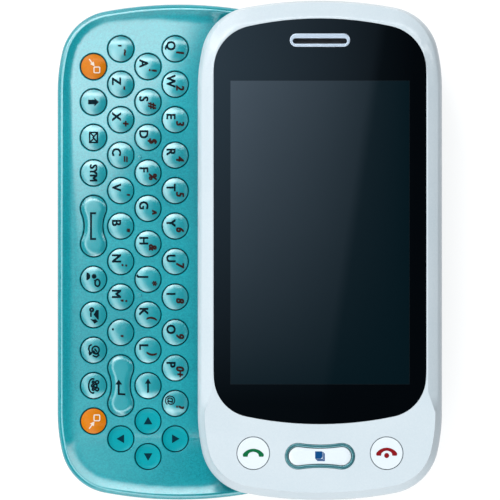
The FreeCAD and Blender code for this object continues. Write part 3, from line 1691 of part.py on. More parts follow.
def make_carriage():
    body = new_body("slide_carriage")
    profile = sketch_on(body, "Plate", height=Z_TRAY_FLOOR)
    half = CARRIAGE_HALF_WIDTH
    add_rectangle(profile, -half, half, -CARRIAGE_HALF_LENGTH, CARRIAGE_HALF_LENGTH)
    neck = S.shoe_neck_width / 2 + S.guide_clearance
    add_slide_slots(profile, neck, S.flex_slot_half_width)
    for x, y in STAKES:
        add_circle(profile, x, y, S.pin_radius + S.clearance)
    pad(body, profile, S.plate_thickness)
    anchors = [(ANCHOR_X, S.spring_anchor_line), (ANCHOR_X, -S.spring_anchor_line)]
    discs(
        body, "Anchors", anchors, S.pin_radius, Z_CARRIAGE_TOP, Z_CARRIAGE_TOP + S.pin_height
    )
    on_screen_half(body)


def spring_path(start, end, bend, leg, height):
    """A flat zigzag from start to end: straight tails and legs across, joined by half circles."""
    along = end.sub(start)
    length = along.Length
    along.normalize()
    across = FreeCAD.Vector(-along.y, along.x, 0)
    tail = (length - 2 * bend * SPRING_LEGS) / 2
    corner = math.sqrt(0.5) * bend

    def point(forward, sideways):
        spot = start + along * forward + across * sideways
        return FreeCAD.Vector(spot.x, spot.y, height)

    edges = []
    side = 1
    at = tail
    # from the tail into the first leg, a quarter turn
    edges.append(Part.makeLine(point(bend, 0), point(at, 0)))
    edges.append(
        Part.Arc(
            point(at, 0), point(at + corner, side * (bend - corner)), point(at + bend, side * bend)
        ).toShape()
    )
    at += bend
    previous = side * bend
    for number in range(SPRING_LEGS - 1):
        tip = side * leg
        edges.append(Part.makeLine(point(at, previous), point(at, tip)))
        top = point(at + bend, tip + side * bend)
        edges.append(Part.Arc(point(at, tip), top, point(at + 2 * bend, tip)).toShape())
        at += 2 * bend
        previous = tip
        side = -side
    last = -side * bend
    edges.append(Part.makeLine(point(at, previous), point(at, last)))
    edges.append(
        Part.Arc(
            point(at, last), point(at + bend - corner, last + side * corner), point(at + bend, 0)
        ).toShape()
    )
    edges.append(Part.makeLine(point(at + bend, 0), point(length - bend, 0)))
    return Part.Wire(edges)


def make_springs():
    """Two zigzag springs between the shoes' ears and the carriage's anchor pins."""
    wire = S.spring_wire.value / 2
    eye = S.pin_radius.value + wire + S.clearance.value / 2
    height = (Z_CARRIAGE_TOP + S.pin_height - S.spring_wire / 2).value
    springs = []
    for side in (1, -1):
        start = FreeCAD.Vector(SHOE_MIDDLE.value, side * EAR_LINE.value, height)
        anchor_x = (ANCHOR_X + S.slide_travel).value
        end = FreeCAD.Vector(anchor_x, side * S.spring_anchor_line.value, height)
        path = spring_path(start, end, S.spring_bend.value, S.spring_leg.value, height)
        first = path.Edges[0].Vertexes[0].Point
        circle = Part.Wire([Part.makeCircle(wire, first, end.sub(start))])
        strand = path.makePipeShell([circle], True, False)
        for centre in (start, end):
            strand = strand.fuse(Part.makeTorus(eye, wire, centre, FreeCAD.Vector(0, 0, 1)))
        springs.append(strand)
    made = DOCUMENT.addObject("Part::Feature", "slide_springs")
    made.Label = "slide_springs"
    made.Shape = Part.makeCompound(springs)
    BUILT.append(made)


def make_flex_cable():
    """A flat cable from the main board up through both halves to the display bracket."""
    body = new_body("slide_flex_cable")
    profile = sketch_on(body, "Run", "YZ_Plane", height=FLEX_LEFT)
    half = S.flex_thickness / 2
    foot = Z_BOARD_TOP + S.key_rest_gap
    run = Z_CARRIAGE_TOP + S.pin_height - S.flex_thickness
    top = Z_BRACKET - S.key_rest_gap
    tail = S.flex_tail
    corners = [
        (-half - tail / 2, foot),
        (half, foot),
        (half, run),
        (tail + half, run),
        (tail + half, top),
        (tail - half, top),
        (tail - half, run + S.flex_thickness),
        (-half, run + S.flex_thickness),
        (-half, foot + S.flex_thickness),
        (-half - tail / 2, foot + S.flex_thickness),
    ]
    add_polygon(profile, corners)
    pad(body, profile, S.flex_width)


# ---------------------------------------------------------------- screen half


def make_tray():
    """The screen half's rear cover, with the slots that the guide shoes and the cable use."""
    body = new_body("slider_rear_cover")
    outline_pad(body, "TrayOutline", SCREEN_OUTLINE, Z_TRAY, Z_TRAY_TOP)
    round_edges(body, flat_edges(body.Shape, Z_TRAY), S.tray_edge_radius)
    outline_cut(
        body, "TrayInside", inset(SCREEN_OUTLINE, S.tray_wall), Z_TRAY_FLOOR, Z_TRAY_TOP
    )
    slots = sketch_on(body, "Slots", height=Z_TRAY)
    shoulder = S.shoe_shoulder_width / 2 + S.guide_clearance * 2
    add_slide_slots(slots, shoulder, S.flex_slot_half_width)
    cut(body, slots, S.tray_floor, upward=True)
    discs(body, "Posts", TRAY_POSTS, S.post_radius, Z_TRAY_FLOOR, Z_BRACKET)
    disc_cut(
        body, "ScrewBores", TRAY_POSTS, S.screw_shank_radius + S.clearance, Z_TRAY, Z_BRACKET
    )
    disc_cut(
        body, "ScrewHeads", TRAY_POSTS, S.screw_head_radius + S.clearance, Z_TRAY,
        Z_TRAY + S.screw_head_height + S.clearance,
    )
    discs(body, "Stakes", STAKES, S.pin_radius, Z_TRAY_FLOOR, Z_CARRIAGE_TOP + S.stake_proud)
    on_screen_half(body)


def make_tray_screws():
    head = Z_TRAY + S.screw_head_height + S.clearance
    on_screen_half(make_screws("slider_screws", TRAY_POSTS, head, Z_LEDGE - S.clearance))


def make_bracket():
    """The metal frame that carries the display."""
    body = new_body("display_bracket")
    profile = sketch_on(body, "Plate", height=Z_BRACKET)
    add_outline(profile, inset(SCREEN_OUTLINE, S.tray_wall + S.bracket_edge_gap))
    for x, y in TRAY_POSTS:
        add_circle(profile, x, y, S.screw_shank_radius + S.clearance)
    pad(body, profile, S.bracket_floor)
    fence = sketch_on(body, "Fence", height=Z_BRACKET_TOP)
    inner_x = DISPLAY_HALF_WIDTH + S.clearance
    low = DISPLAY_LOW - S.clearance
    high = DISPLAY_HIGH + S.clearance
    for by in (S.bracket_fence, ZERO):
        add_rectangle(fence, -(inner_x + by), inner_x + by, low - by, high + by)
    pad(body, fence, S.bracket_fence_height)
    discs(body, "BoardPosts", FRONT_KEYS, S.post_radius, Z_BRACKET_TOP, Z_FRONT_BOARD)
    on_screen_half(body)


def make_display():
    body = new_body("display_module")
    block(
        body,
        "Module",
        -DISPLAY_HALF_WIDTH,
        DISPLAY_HALF_WIDTH,
        DISPLAY_LOW,
        DISPLAY_HIGH,
        Z_BRACKET_TOP,
        Z_BRACKET_TOP + S.display_thickness,
    )
    on_screen_half(body)


def make_front_cover():
    """The glossy front cover: a rounded skirt, a ridge, a sloping bezel and a flat apron."""
    body = new_body("front_cover")
    ridge = SCREEN_OUTLINE._replace(
        half_width=S.case_half_width - S.ridge_side_inset,
        upper=shrunk_end(phone_end(S.case_end), S.ridge_upper_inset),
        lower=shrunk_end(phone_end(S.case_end), S.ridge_lower_inset),
    )
    outline_pad(body, "SkirtFoot", SCREEN_OUTLINE, Z_TRAY_TOP, S.skirt_foot_height)
    levels = [
        (SCREEN_OUTLINE, S.skirt_foot_height),
        (inset(SCREEN_OUTLINE, S.belt_inset), S.belt_height),
        (ridge, S.ridge_height),
    ]
    skirt = []
    for number, (outline, height) in enumerate(levels):
        section = sketch_on(body, f"Skirt{number}", height=height)
        add_outline(section, outline)
        skirt.append(section)
    loft(body, skirt, ruled=False)
    split_ridge = ridge._replace(
        lower_half_width=ridge.half_width, flare_start=APRON_START
    )
    face = Outline(
        S.case_half_width - S.bezel_side_inset,
        shrunk_end(phone_end(S.case_end), S.bezel_upper_inset),
        shrunk_end(phone_end(S.case_end), S.apron_lower_inset),
        S.case_half_width - S.apron_side_inset,
        APRON_START,
    )
    bezel = []
    for number, (outline, height) in enumerate(
        [(split_ridge, S.ridge_height), (face, Z_FRONT)]
    ):
        section = sketch_on(body, f"Bezel{number}", height=height)
        add_outline(section, outline)
        bezel.append(section)
    loft(body, bezel, ruled=True)
    # inside: room for the bracket, then the window's seat, its ledge and the apron's shell
    outline_cut(body, "Inside", inset(SCREEN_OUTLINE, S.tray_wall), Z_TRAY_TOP, Z_LEDGE)
    outline_cut(body, "WindowSeat", inset(WINDOW_OUTLINE, -S.window_gap), Z_WINDOW, Z_FRONT)
    outline_cut(
        body, "LedgeOpening", inset(WINDOW_OUTLINE, S.window_ledge_width), Z_LEDGE, Z_WINDOW
    )
    block_cut(
        body,
        "ApronInside",
        -APRON_HALF_WIDTH,
        APRON_HALF_WIDTH,
        -(FRONT_KEY_LINE + APRON_HALF_LENGTH),
        -(FRONT_KEY_LINE - APRON_HALF_LENGTH),
        Z_LEDGE,
        Z_APRON_UNDER,
    )
    disc_cut(
        body, "KeyHoles", FRONT_KEYS, S.front_key_radius + S.front_key_gap, Z_APRON_UNDER, Z_FRONT
    )
    menu = sketch_on(body, "MenuHole", height=Z_APRON_UNDER)
    menu_hole = grown(MENU_KEY, S.menu_ring_width + S.trim_gap)
    add_long_shape(menu, menu_hole, ZERO, -MENU_LINE)
    cut(body, menu, S.apron_thickness, upward=True)
    discs(body, "Posts", TRAY_POSTS, S.post_radius, Z_BRACKET_TOP + S.mat_clearance, Z_LEDGE)
    disc_cut(
        body, "PostBores", TRAY_POSTS, S.screw_shank_radius, Z_BRACKET_TOP, Z_LEDGE
    )
    on_screen_half(body)


FRONT_FLANGE_RADIUS = S.front_key_radius + S.front_key_gap + S.front_key_flange_lip
FRONT_BOARD_HALF_WIDTH = FRONT_KEY_SIDE + S.front_board_reach
APRON_HALF_WIDTH = FRONT_KEY_SIDE + FRONT_FLANGE_RADIUS + S.front_board_margin
APRON_HALF_LENGTH = FRONT_FLANGE_RADIUS + S.front_board_end_margin


def make_window():
    body = new_body("touch_window")
    outline_pad(body, "Glass", WINDOW_OUTLINE, Z_WINDOW, Z_WINDOW_TOP)
    slot = sketch_on(body, "EarpieceSlot", height=Z_WINDOW)
    spread = S.earpiece_half_length - S.earpiece_radius
    add_stadium(slot, -spread, spread, EARPIECE_CENTRE, S.earpiece_radius + S.window_gap)
    cut(body, slot, S.window_thickness, upward=True)
    on_screen_half(body)


def make_earpiece():
    spread = S.earpiece_half_length - S.earpiece_radius
    trim = new_body("earpiece_trim")
    ring = sketch_on(trim, "Ring", height=Z_WINDOW)
    add_stadium(ring, -spread, spread, EARPIECE_CENTRE, S.earpiece_radius)
    # the slot sits low in the ring, so the upper limb is the broad one
    slot_spread = S.earpiece_half_length - S.earpiece_rim - S.earpiece_slot_radius
    slot_line = EARPIECE_CENTRE - S.earpiece_radius + S.earpiece_rim + S.earpiece_slot_radius
    add_stadium(ring, -slot_spread, slot_spread, slot_line, S.earpiece_slot_radius)
    top = Z_WINDOW_TOP + S.earpiece_proud
    pad(trim, ring, top - Z_WINDOW)
    round_edges(trim, flat_edges(trim.Shape, top), S.earpiece_edge_radius)
    on_screen_half(trim)

    receiver = new_body("earpiece_receiver")
    half = S.earpiece_half_length
    block(
        receiver,
        "Can",
        -half,
        half,
        DISPLAY_HIGH + S.clearance + S.bracket_fence + S.receiver_gap,
        EARPIECE_CENTRE + S.receiver_reach,
        Z_WINDOW - S.mat_clearance - S.receiver_thickness,
        Z_WINDOW - S.mat_clearance,
    )
    on_screen_half(receiver)


def make_front_keys():
    for label, side in (("call_key", -1), ("end_key", 1)):
        body = new_body(label)
        make_front_key_section(body)
        place(body, S.slide_travel + FRONT_KEY_SIDE * side, -FRONT_KEY_LINE)

    key = new_body("menu_key")
    top = Z_FRONT - S.front_key_recess
    discs(
        key, "Nib", [(ZERO, ZERO)], S.key_nib_radius, Z_FRONT_KEY_BOTTOM, Z_FRONT_FLANGE
    )
    # the flange is a plain bar, so that it passes under the ring on both sides
    flange = sketch_on(key, "Flange", height=Z_FRONT_FLANGE)
    add_long_shape(flange, grown(MENU_KEY, S.menu_ring_width / 2))
    pad(key, flange, Z_FRONT_FLANGE_TOP - Z_FRONT_FLANGE - S.mat_clearance)
    stem = sketch_on(key, "Stem", height=Z_FRONT_FLANGE)
    add_long_shape(stem, MENU_KEY)
    pad(key, stem, top - S.menu_crown - Z_FRONT_FLANGE)
    add_crown(key, MENU_KEY, top - S.menu_crown, S.menu_crown, S.menu_crown_inset, False)
    place(key, S.slide_travel, -MENU_LINE)

    ring = new_body("menu_key_ring")
    profile = sketch_on(ring, "Ring", height=Z_APRON_UNDER)
    outer = grown(MENU_KEY, S.menu_ring_width)
    add_long_shape(profile, outer)
    add_long_shape(profile, grown(MENU_KEY, S.front_key_gap))
    ring_top = Z_FRONT - S.front_key_recess
    pad(ring, profile, ring_top - Z_APRON_UNDER)
    round_edges(ring, flat_edges(ring.Shape, ring_top), S.menu_ring_edge_radius)
    place(ring, S.slide_travel, -MENU_LINE)

    board = new_body("front_key_board")
    block(
        board,
        "Board",
        -FRONT_BOARD_HALF_WIDTH,
        FRONT_BOARD_HALF_WIDTH,
        -(FRONT_KEY_LINE + S.front_board_half_length),
        -(FRONT_KEY_LINE - S.front_board_half_length),
        Z_FRONT_BOARD,
        Z_FRONT_BOARD_TOP,
    )
    domes = FRONT_KEYS + [(ZERO, -MENU_LINE)]
    discs(
        board, "Domes", domes, S.dome_radius, Z_FRONT_BOARD_TOP, Z_FRONT_BOARD_TOP + S.dome_height
    )
    on_screen_half(board)


def make_front_key_section(body):
    made = sketch_on(body, "HalfSection", "XZ_Plane")
    top = Z_FRONT - S.front_key_recess
    edge = S.front_key_radius
    flange = FRONT_FLANGE_RADIUS
    bevel = S.front_key_bevel
    corners = [
        (ZERO, Z_FRONT_KEY_BOTTOM),
        (S.key_nib_radius, Z_FRONT_KEY_BOTTOM),
        (S.key_nib_radius, Z_FRONT_FLANGE),
        (flange, Z_FRONT_FLANGE),
        (flange, Z_FRONT_FLANGE_TOP),
        (edge, Z_FRONT_FLANGE_TOP),
        (edge, top - bevel),
        (edge - bevel, top),
        (ZERO, top),
    ]
    add_polygon(made, corners)
    return revolve(body, made)


# ---------------------------------------------------------------- build, check and write


def build():
    make_rear_housing()
    make_battery_cover()
    make_battery()
    make_main_board()
    make_keyboard_deck()
    make_housing_screws()
    make_dome_sheet()
    make_key_mat()
    make_round_keys()
    make_long_keys()
    make_camera()
    make_loudspeaker()
    make_vibration_motor()
    make_card_holder()
    make_antenna_carrier()
    make_usb_socket()
    make_headset_socket()
    make_side_keys()
    make_base_plate()
    make_shoes()
    make_carriage()
    make_springs()
    make_flex_cable()
    make_tray()
    make_tray_screws()
    make_bracket()
    make_display()
    make_front_cover()
    make_window()
    make_earpiece()
    make_front_keys()


def check_document():
    for made in DOCUMENT.Objects:
        if "Invalid" in made.State or "Error" in made.State:
            raise RuntimeError(f"{made.Label} is {made.State}")
    for made in BUILT:
        if made.Shape.isNull() or not made.Shape.isValid():
            raise RuntimeError(f"{made.Label} has no valid shape")


def write_parts():
    os.makedirs("parts", exist_ok=True)
    for made in BUILT:
        made.Shape.exportStep(os.path.join("parts", made.Label + ".step"))
        box = made.Shape.BoundBox
        print(
            f"{made.Label:22s} solids {len(made.Shape.Solids):2d} volume {made.Shape.Volume:9.2f} "
            f"x {box.XMin:7.2f} {box.XMax:7.2f} y {box.YMin:7.2f} {box.YMax:7.2f} "
            f"z {box.ZMin:6.2f} {box.ZMax:6.2f}"
        )


build()
DOCUMENT.recompute()
check_document()
write_parts()
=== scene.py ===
import json
import math

import bmesh
import bpy
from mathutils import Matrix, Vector
from mathutils.bvhtree import BVHTree


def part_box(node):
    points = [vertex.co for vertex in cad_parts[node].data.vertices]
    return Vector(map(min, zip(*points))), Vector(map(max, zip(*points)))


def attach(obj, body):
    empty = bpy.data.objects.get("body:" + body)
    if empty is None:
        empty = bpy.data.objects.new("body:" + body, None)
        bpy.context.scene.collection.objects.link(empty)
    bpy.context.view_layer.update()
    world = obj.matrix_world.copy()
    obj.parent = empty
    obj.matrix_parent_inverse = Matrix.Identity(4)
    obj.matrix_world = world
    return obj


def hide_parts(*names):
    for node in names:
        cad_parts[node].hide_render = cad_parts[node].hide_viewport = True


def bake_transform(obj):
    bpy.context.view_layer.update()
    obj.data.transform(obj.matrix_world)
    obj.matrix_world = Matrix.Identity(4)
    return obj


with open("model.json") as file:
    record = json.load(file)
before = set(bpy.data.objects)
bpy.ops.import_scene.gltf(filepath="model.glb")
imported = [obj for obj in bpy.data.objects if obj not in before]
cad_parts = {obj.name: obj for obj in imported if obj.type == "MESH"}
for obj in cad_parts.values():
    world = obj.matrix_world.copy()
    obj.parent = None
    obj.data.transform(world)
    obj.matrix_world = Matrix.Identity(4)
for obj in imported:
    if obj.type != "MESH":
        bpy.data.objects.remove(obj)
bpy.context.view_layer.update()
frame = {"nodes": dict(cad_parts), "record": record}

# Dresses the slider phone: finishes, a copy of the springs, printed legends, camera, floor and
# lights.
# Everything is in metres, in the frame of the imported model.

MM = 0.001
NODES = frame["nodes"]
RECORD = frame["record"]


# ---------------------------------------------------------------- colours

SRGB_STRAIGHT_BELOW = 0.04045
SRGB_STRAIGHT_SLOPE = 12.92
SRGB_OFFSET = 0.055
SRGB_POWER = 2.4


def srgb(red, green, blue):
    """A colour given as it looks on a screen, from 0 to 255, as the shader wants it."""
    linear = []
    for value in (red, green, blue):
        share = value / 255
        if share < SRGB_STRAIGHT_BELOW:
            linear.append(share / SRGB_STRAIGHT_SLOPE)
        else:
            linear.append(((share + SRGB_OFFSET) / (1 + SRGB_OFFSET)) ** SRGB_POWER)
    return (*linear, 1.0)


WHITE = (1.0, 1.0, 1.0, 1.0)
BLACK = (0.0, 0.0, 0.0, 1.0)


PEARL = srgb(205, 215, 220)
PEARL_SHADE = srgb(197, 209, 215)
KEY_WHITE = srgb(224, 232, 236)
KEY_WHITE_SHADE = srgb(217, 226, 231)
AQUA = srgb(16, 158, 168)
AQUA_DEEP = srgb(0, 128, 140)
TEAL = srgb(90, 152, 160)
TEAL_DEEP = srgb(66, 128, 138)
DOME = srgb(22, 146, 156)
DOME_DEEP = srgb(10, 134, 144)
# Painted shade: the dark teal that keys take below their edge, standing in for the shade in the gap
# round each key.
GAP_PAINTED_SHADE = srgb(0, 66, 76)
ORANGE = srgb(206, 118, 0)
ORANGE_DEEP = srgb(188, 104, 0)
TURQUOISE = srgb(0, 150, 160)
TURQUOISE_DEEP = srgb(0, 140, 150)
WINDOW = srgb(3, 6, 9)
WINDOW_SHADE = srgb(6, 10, 14)
DISPLAY = srgb(80, 80, 81)
DISPLAY_SHADE = srgb(84, 84, 85)
GLASS_TINT = (0.75, 0.92, 1.0, 1.0)
# Painted glow: the faint bluish light that the switched-off display gives off, standing in for the
# light it scatters back.
DISPLAY_PAINTED_GLOW = (0.0018, 0.0086, 0.013, 1.0)
CHROME = srgb(190, 204, 218)
CHROME_SHADE = srgb(180, 196, 212)
STEEL = srgb(196, 199, 204)
STEEL_SHADE = srgb(176, 180, 186)
CAST_METAL = srgb(190, 192, 196)
CAST_METAL_SHADE = srgb(172, 176, 180)
CHARCOAL = srgb(38, 39, 42)
CHARCOAL_SHADE = srgb(30, 31, 34)
BATTERY_WRAP = srgb(84, 88, 94)
BATTERY_WRAP_SHADE = srgb(72, 76, 82)
SOLDER_MASK = srgb(28, 104, 78)
COATED_TRACK = srgb(44, 128, 90)
COPPER = srgb(214, 150, 92)
AMBER = srgb(206, 140, 70)
MILKY = srgb(214, 222, 222)
MILKY_SHADE = srgb(200, 210, 210)
DOME_FILM = srgb(206, 204, 196)
DOME_FILM_SHADE = srgb(190, 188, 180)
LENS_PUPIL = srgb(4, 5, 10)
# Painted reflection: the purple and blue tones of the lens coating.
PAINTED_COATING_REFLECTION = srgb(58, 30, 92)
PAINTED_COATING_REFLECTION_EDGE = srgb(20, 46, 84)
LENS_BEZEL = srgb(10, 11, 13)
LENS_BARREL = srgb(44, 46, 52)
INK = srgb(2, 22, 30)
INK_RED = srgb(48, 26, 24)
INK_PALE = srgb(212, 200, 184)
INK_NAVY = srgb(0, 40, 52)
INK_GREEN = srgb(6, 94, 54)
INK_CRIMSON = srgb(126, 18, 24)
INK_BLUE = srgb(10, 66, 118)


# ---------------------------------------------------------------- finishes

class Finish:
    """One material and the nodes that the finishes below are built from."""

    def __init__(
        self, name, metallic=0.0, coat=0.0, coat_roughness=0.05, specular=0.5, coat_ior=1.5,
    ):
        self.material = bpy.data.materials.new(name)
        self.material.use_nodes = True
        self.tree = self.material.node_tree
        self.shader = self.tree.nodes["Principled BSDF"]
        self.shader.inputs["Metallic"].default_value = metallic
        self.shader.inputs["Coat Weight"].default_value = coat
        self.shader.inputs["Coat Roughness"].default_value = coat_roughness
        self.shader.inputs["Coat IOR"].default_value = coat_ior
        self.shader.inputs["Specular IOR Level"].default_value = specular
        self.place = self.node("ShaderNodeTexCoord").outputs["Object"]

    def node(self, kind, **settings):
        node = self.tree.nodes.new(kind)
        for name, value in settings.items():
            setattr(node, name, value)
        return node

    def join(self, source, target):
        self.tree.links.new(source, target)

    def stretched(self, x, y, z):
        """The place on the object, with each axis scaled."""
        mapping = self.node("ShaderNodeMapping")
        mapping.inputs["Scale"].default_value = (x, y, z)
        self.join(self.place, mapping.inputs["Vector"])
        return mapping.outputs["Vector"]

    def noise(self, size, detail=3.0, place=None):
        """Soft noise whose blobs are about that size, in millimetres."""
        noise = self.node("ShaderNodeTexNoise")
        noise.inputs["Scale"].default_value = 1 / (size * MM)
        noise.inputs["Detail"].default_value = detail
        self.join(place or self.place, noise.inputs["Vector"])
        return noise.outputs["Fac"]

    def cells(self, size):
        """A random value for each cell of about that size, in millimetres."""
        cells = self.node("ShaderNodeTexVoronoi")
        cells.inputs["Scale"].default_value = 1 / (size * MM)
        self.join(self.place, cells.inputs["Vector"])
        return cells.outputs["Color"]

    def math(self, operation, a, b=None):
        """Arithmetic on two values, each a number or a socket."""
        node = self.node("ShaderNodeMath", operation=operation)
        for socket, value in zip(node.inputs, (a, b)):
            if value is None:
                continue
            if isinstance(value, (int, float)):
                socket.default_value = value
            else:
                self.join(value, socket)
        return node.outputs["Value"]

    def remap(self, value, low, high, to_low=0.0, to_high=1.0):
        """The value's range from low to high, moved to another range and held inside it."""
        remap = self.node("ShaderNodeMapRange")
        self.join(value, remap.inputs["Value"])
        remap.inputs["From Min"].default_value = low
        remap.inputs["From Max"].default_value = high
        remap.inputs["To Min"].default_value = to_low
        remap.inputs["To Max"].default_value = to_high
        return remap.outputs["Result"]

    def mix(self, share, first, second):
        """A blend of two colours, each a colour or a socket."""
        mix = self.node("ShaderNodeMix", data_type="RGBA")
        self.join(share, mix.inputs["Factor"])
        colour_inputs = [i for i in mix.inputs if i.type == "RGBA"]
        for socket, colour in zip(colour_inputs, (first, second)):
            if isinstance(colour, tuple):
                socket.default_value = colour
            else:
                self.join(colour, socket)
        return [o for o in mix.outputs if o.type == "RGBA"][0]

    def axes(self):
        """The three coordinates of the place on the object, in metres."""
        split = self.node("ShaderNodeSeparateXYZ")
        self.join(self.place, split.inputs["Vector"])
        return split.outputs["X"], split.outputs["Y"], split.outputs["Z"]

    def colour(self, socket):
        self.join(socket, self.shader.inputs["Base Color"])

    def roughness(self, value, low, high):
        """Roughness between two limits, following a noise."""
        level = self.remap(value, *NOISE_RANGE, low, high)
        self.join(level, self.shader.inputs["Roughness"])

    def bump(self, height, depth):
        """Relief of that depth in millimetres."""
        bump = self.node("ShaderNodeBump")
        bump.inputs["Distance"].default_value = depth * MM
        self.join(height, bump.inputs["Height"])
        self.join(bump.outputs["Normal"], self.shader.inputs["Normal"])

    def tracks(self, pitch, direction, edge, bends=0.0):
        """1 on the copper tracks of a board or cable, and 0 between them. edge is where on the
        wave a track begins and where it is full."""
        waves = self.node("ShaderNodeTexWave", bands_direction=direction)
        waves.inputs["Scale"].default_value = 1 / (pitch * MM) / math.tau
        waves.inputs["Distortion"].default_value = bends
        waves.inputs["Detail"].default_value = 0.0
        self.join(self.place, waves.inputs["Vector"])
        return self.remap(waves.outputs["Fac"], *edge)


# Sizes and depths of the textures, in millimetres.
FLAKE_SIZE = 0.26
CLOUD_SIZE = 14.0
ORANGE_PEEL_SIZE = 0.9
ORANGE_PEEL_DEPTH = 0.0015
PLASTIC_GRAIN_SIZE = 0.12
PLASTIC_GRAIN_DEPTH = 0.004
STREAK_DEPTH = 0.0008
FILM_HAZE_SIZE = 1.0
GLASS_SMEAR_SIZE = 2.0
WINDOW_SMEAR_SIZE = 3.0
BOARD_TRACK_PITCH = 0.9
BOARD_TRACK_DEPTH = 0.02
CABLE_TRACK_PITCH = 0.5
CABLE_TRACK_DEPTH = 0.01

# The part of a noise that counts, and the part of a wave over which a copper track rises.
NOISE_RANGE = (0.3, 0.7)
BOARD_TRACK_EDGE = (0.55, 0.65)
CABLE_TRACK_EDGE = (0.45, 0.55)

BOARD_TRACK_BENDS = 6.0
BOARD_COAT = 0.3
BOARD_ROUGHNESS = (0.3, 0.42)
FILM_COAT = 0.4
FILM_ROUGHNESS = (0.3, 0.45)
INK_ROUGHNESS = (0.5, 0.65)
GLASS_ROUGHNESS = (0.02, 0.05)
WINDOW_ROUGHNESS = (0.02, 0.045)
CAMERA_COAT = 0.6
CAMERA_ROUGHNESS = (0.03, 0.07)
SOFT_DETAIL = 2.0
FINE_DETAIL = 4.0
LACQUER_SPECULAR = 0.05
PLASTIC_SPECULAR = 0.4
INK_SPECULAR = 0.03
# The height over which the painted gap shade gives way to the key's own colour.
PAINTED_SHADE_FADE = 0.05 * MM


def lacquer(
    name, light, deep, flake_share, roughness,
    metallic=0.0, coat=0.6, gloss=0.05, ior=1.5, painted_shade_below=None,
):
    """Sprayed or pearly gloss: flakes under a clear coat, slow clouds and a faint orange peel.
    gloss is the roughness of the coat. Below the height given for the painted shade, the piece is
    painted dark teal without its coat: painted shade for the gap round a key."""
    finish = Finish(name, metallic, coat, gloss, LACQUER_SPECULAR, ior)
    clouds = finish.noise(CLOUD_SIZE, SOFT_DETAIL)
    flakes = finish.cells(FLAKE_SIZE)
    flake_value = finish.node("ShaderNodeSeparateColor")
    finish.join(flakes, flake_value.inputs["Color"])
    share = finish.math("MULTIPLY", flake_value.outputs["Red"], flake_share)
    slow = finish.remap(clouds, *NOISE_RANGE, 0.0, 1 - flake_share)
    blend = finish.mix(finish.math("ADD", share, slow), light, deep)
    # Painted shade: below that height the colour turns dark teal and the coat goes, for the shade
    # in the gap round a key.
    if painted_shade_below:
        above = finish.remap(finish.axes()[2], painted_shade_below - PAINTED_SHADE_FADE, painted_shade_below)
        blend = finish.mix(above, GAP_PAINTED_SHADE, blend)
        finish.join(finish.math("MULTIPLY", above, coat), finish.shader.inputs["Coat Weight"])
    finish.colour(blend)
    finish.roughness(flake_value.outputs["Green"], *roughness)
    finish.bump(finish.noise(ORANGE_PEEL_SIZE, SOFT_DETAIL), ORANGE_PEEL_DEPTH)
    return finish.material


def moulded(name, light, deep, roughness):
    """Plain moulded plastic or rubber with a fine grain."""
    finish = Finish(name, specular=PLASTIC_SPECULAR)
    grain = finish.noise(PLASTIC_GRAIN_SIZE, FINE_DETAIL)
    finish.colour(finish.mix(finish.noise(CLOUD_SIZE / 2), light, deep))
    finish.roughness(grain, *roughness)
    finish.bump(grain, PLASTIC_GRAIN_DEPTH)
    return finish.material


def drawn_metal(name, light, deep, roughness, grain_length=3.0):
    """Rolled or drawn metal with fine streaks along the object's length."""
    finish = Finish(name, metallic=1.0)
    lengthened = finish.stretched(1, 1 / grain_length, 1)
    streaks = finish.noise(PLASTIC_GRAIN_SIZE, FINE_DETAIL, lengthened)
    finish.colour(finish.mix(streaks, light, deep))
    finish.roughness(streaks, *roughness)
    finish.bump(streaks, STREAK_DEPTH)
    return finish.material


INK_THIN_SHARE = 1.2
INK_THIN_LEAST = 0.001


def printed_ink(name, colour):
    """Screen-printed ink: a slightly uneven film."""
    finish = Finish(name, specular=INK_SPECULAR)
    speckle = finish.noise(PLASTIC_GRAIN_SIZE, SOFT_DETAIL)
    thin = [min(1.0, part * INK_THIN_SHARE + INK_THIN_LEAST) for part in colour[:3]]
    pale = (*thin, 1.0)
    finish.colour(finish.mix(speckle, colour, pale))
    finish.roughness(speckle, *INK_ROUGHNESS)
    return finish.material


def circuit_board(name):
    """Solder mask over copper tracks."""
    finish = Finish(name, coat=BOARD_COAT)
    track = finish.tracks(BOARD_TRACK_PITCH, "DIAGONAL", BOARD_TRACK_EDGE, BOARD_TRACK_BENDS)
    finish.colour(finish.mix(track, SOLDER_MASK, COATED_TRACK))
    finish.roughness(finish.noise(PLASTIC_GRAIN_SIZE), *BOARD_ROUGHNESS)
    finish.bump(track, BOARD_TRACK_DEPTH)
    return finish.material


def flex_film(name):
    """Amber film with copper tracks that run along the cable."""
    finish = Finish(name, coat=FILM_COAT)
    track = finish.tracks(CABLE_TRACK_PITCH, "Y", CABLE_TRACK_EDGE)
    finish.colour(finish.mix(track, AMBER, COPPER))
    finish.roughness(finish.noise(FILM_HAZE_SIZE), *FILM_ROUGHNESS)
    finish.bump(track, CABLE_TRACK_DEPTH)
    return finish.material


def dark_glass(name):
    """Polished glass backed in black."""
    finish = Finish(name)
    clouds = finish.noise(CLOUD_SIZE, SOFT_DETAIL)
    finish.colour(finish.mix(clouds, WINDOW, WINDOW_SHADE))
    finish.roughness(finish.noise(GLASS_SMEAR_SIZE), *GLASS_ROUGHNESS)
    return finish.material


DISPLAY_WIDTH = 38.8 * MM
DISPLAY_LENGTH = 65.8 * MM
DISPLAY_EDGE = 0.03 * MM


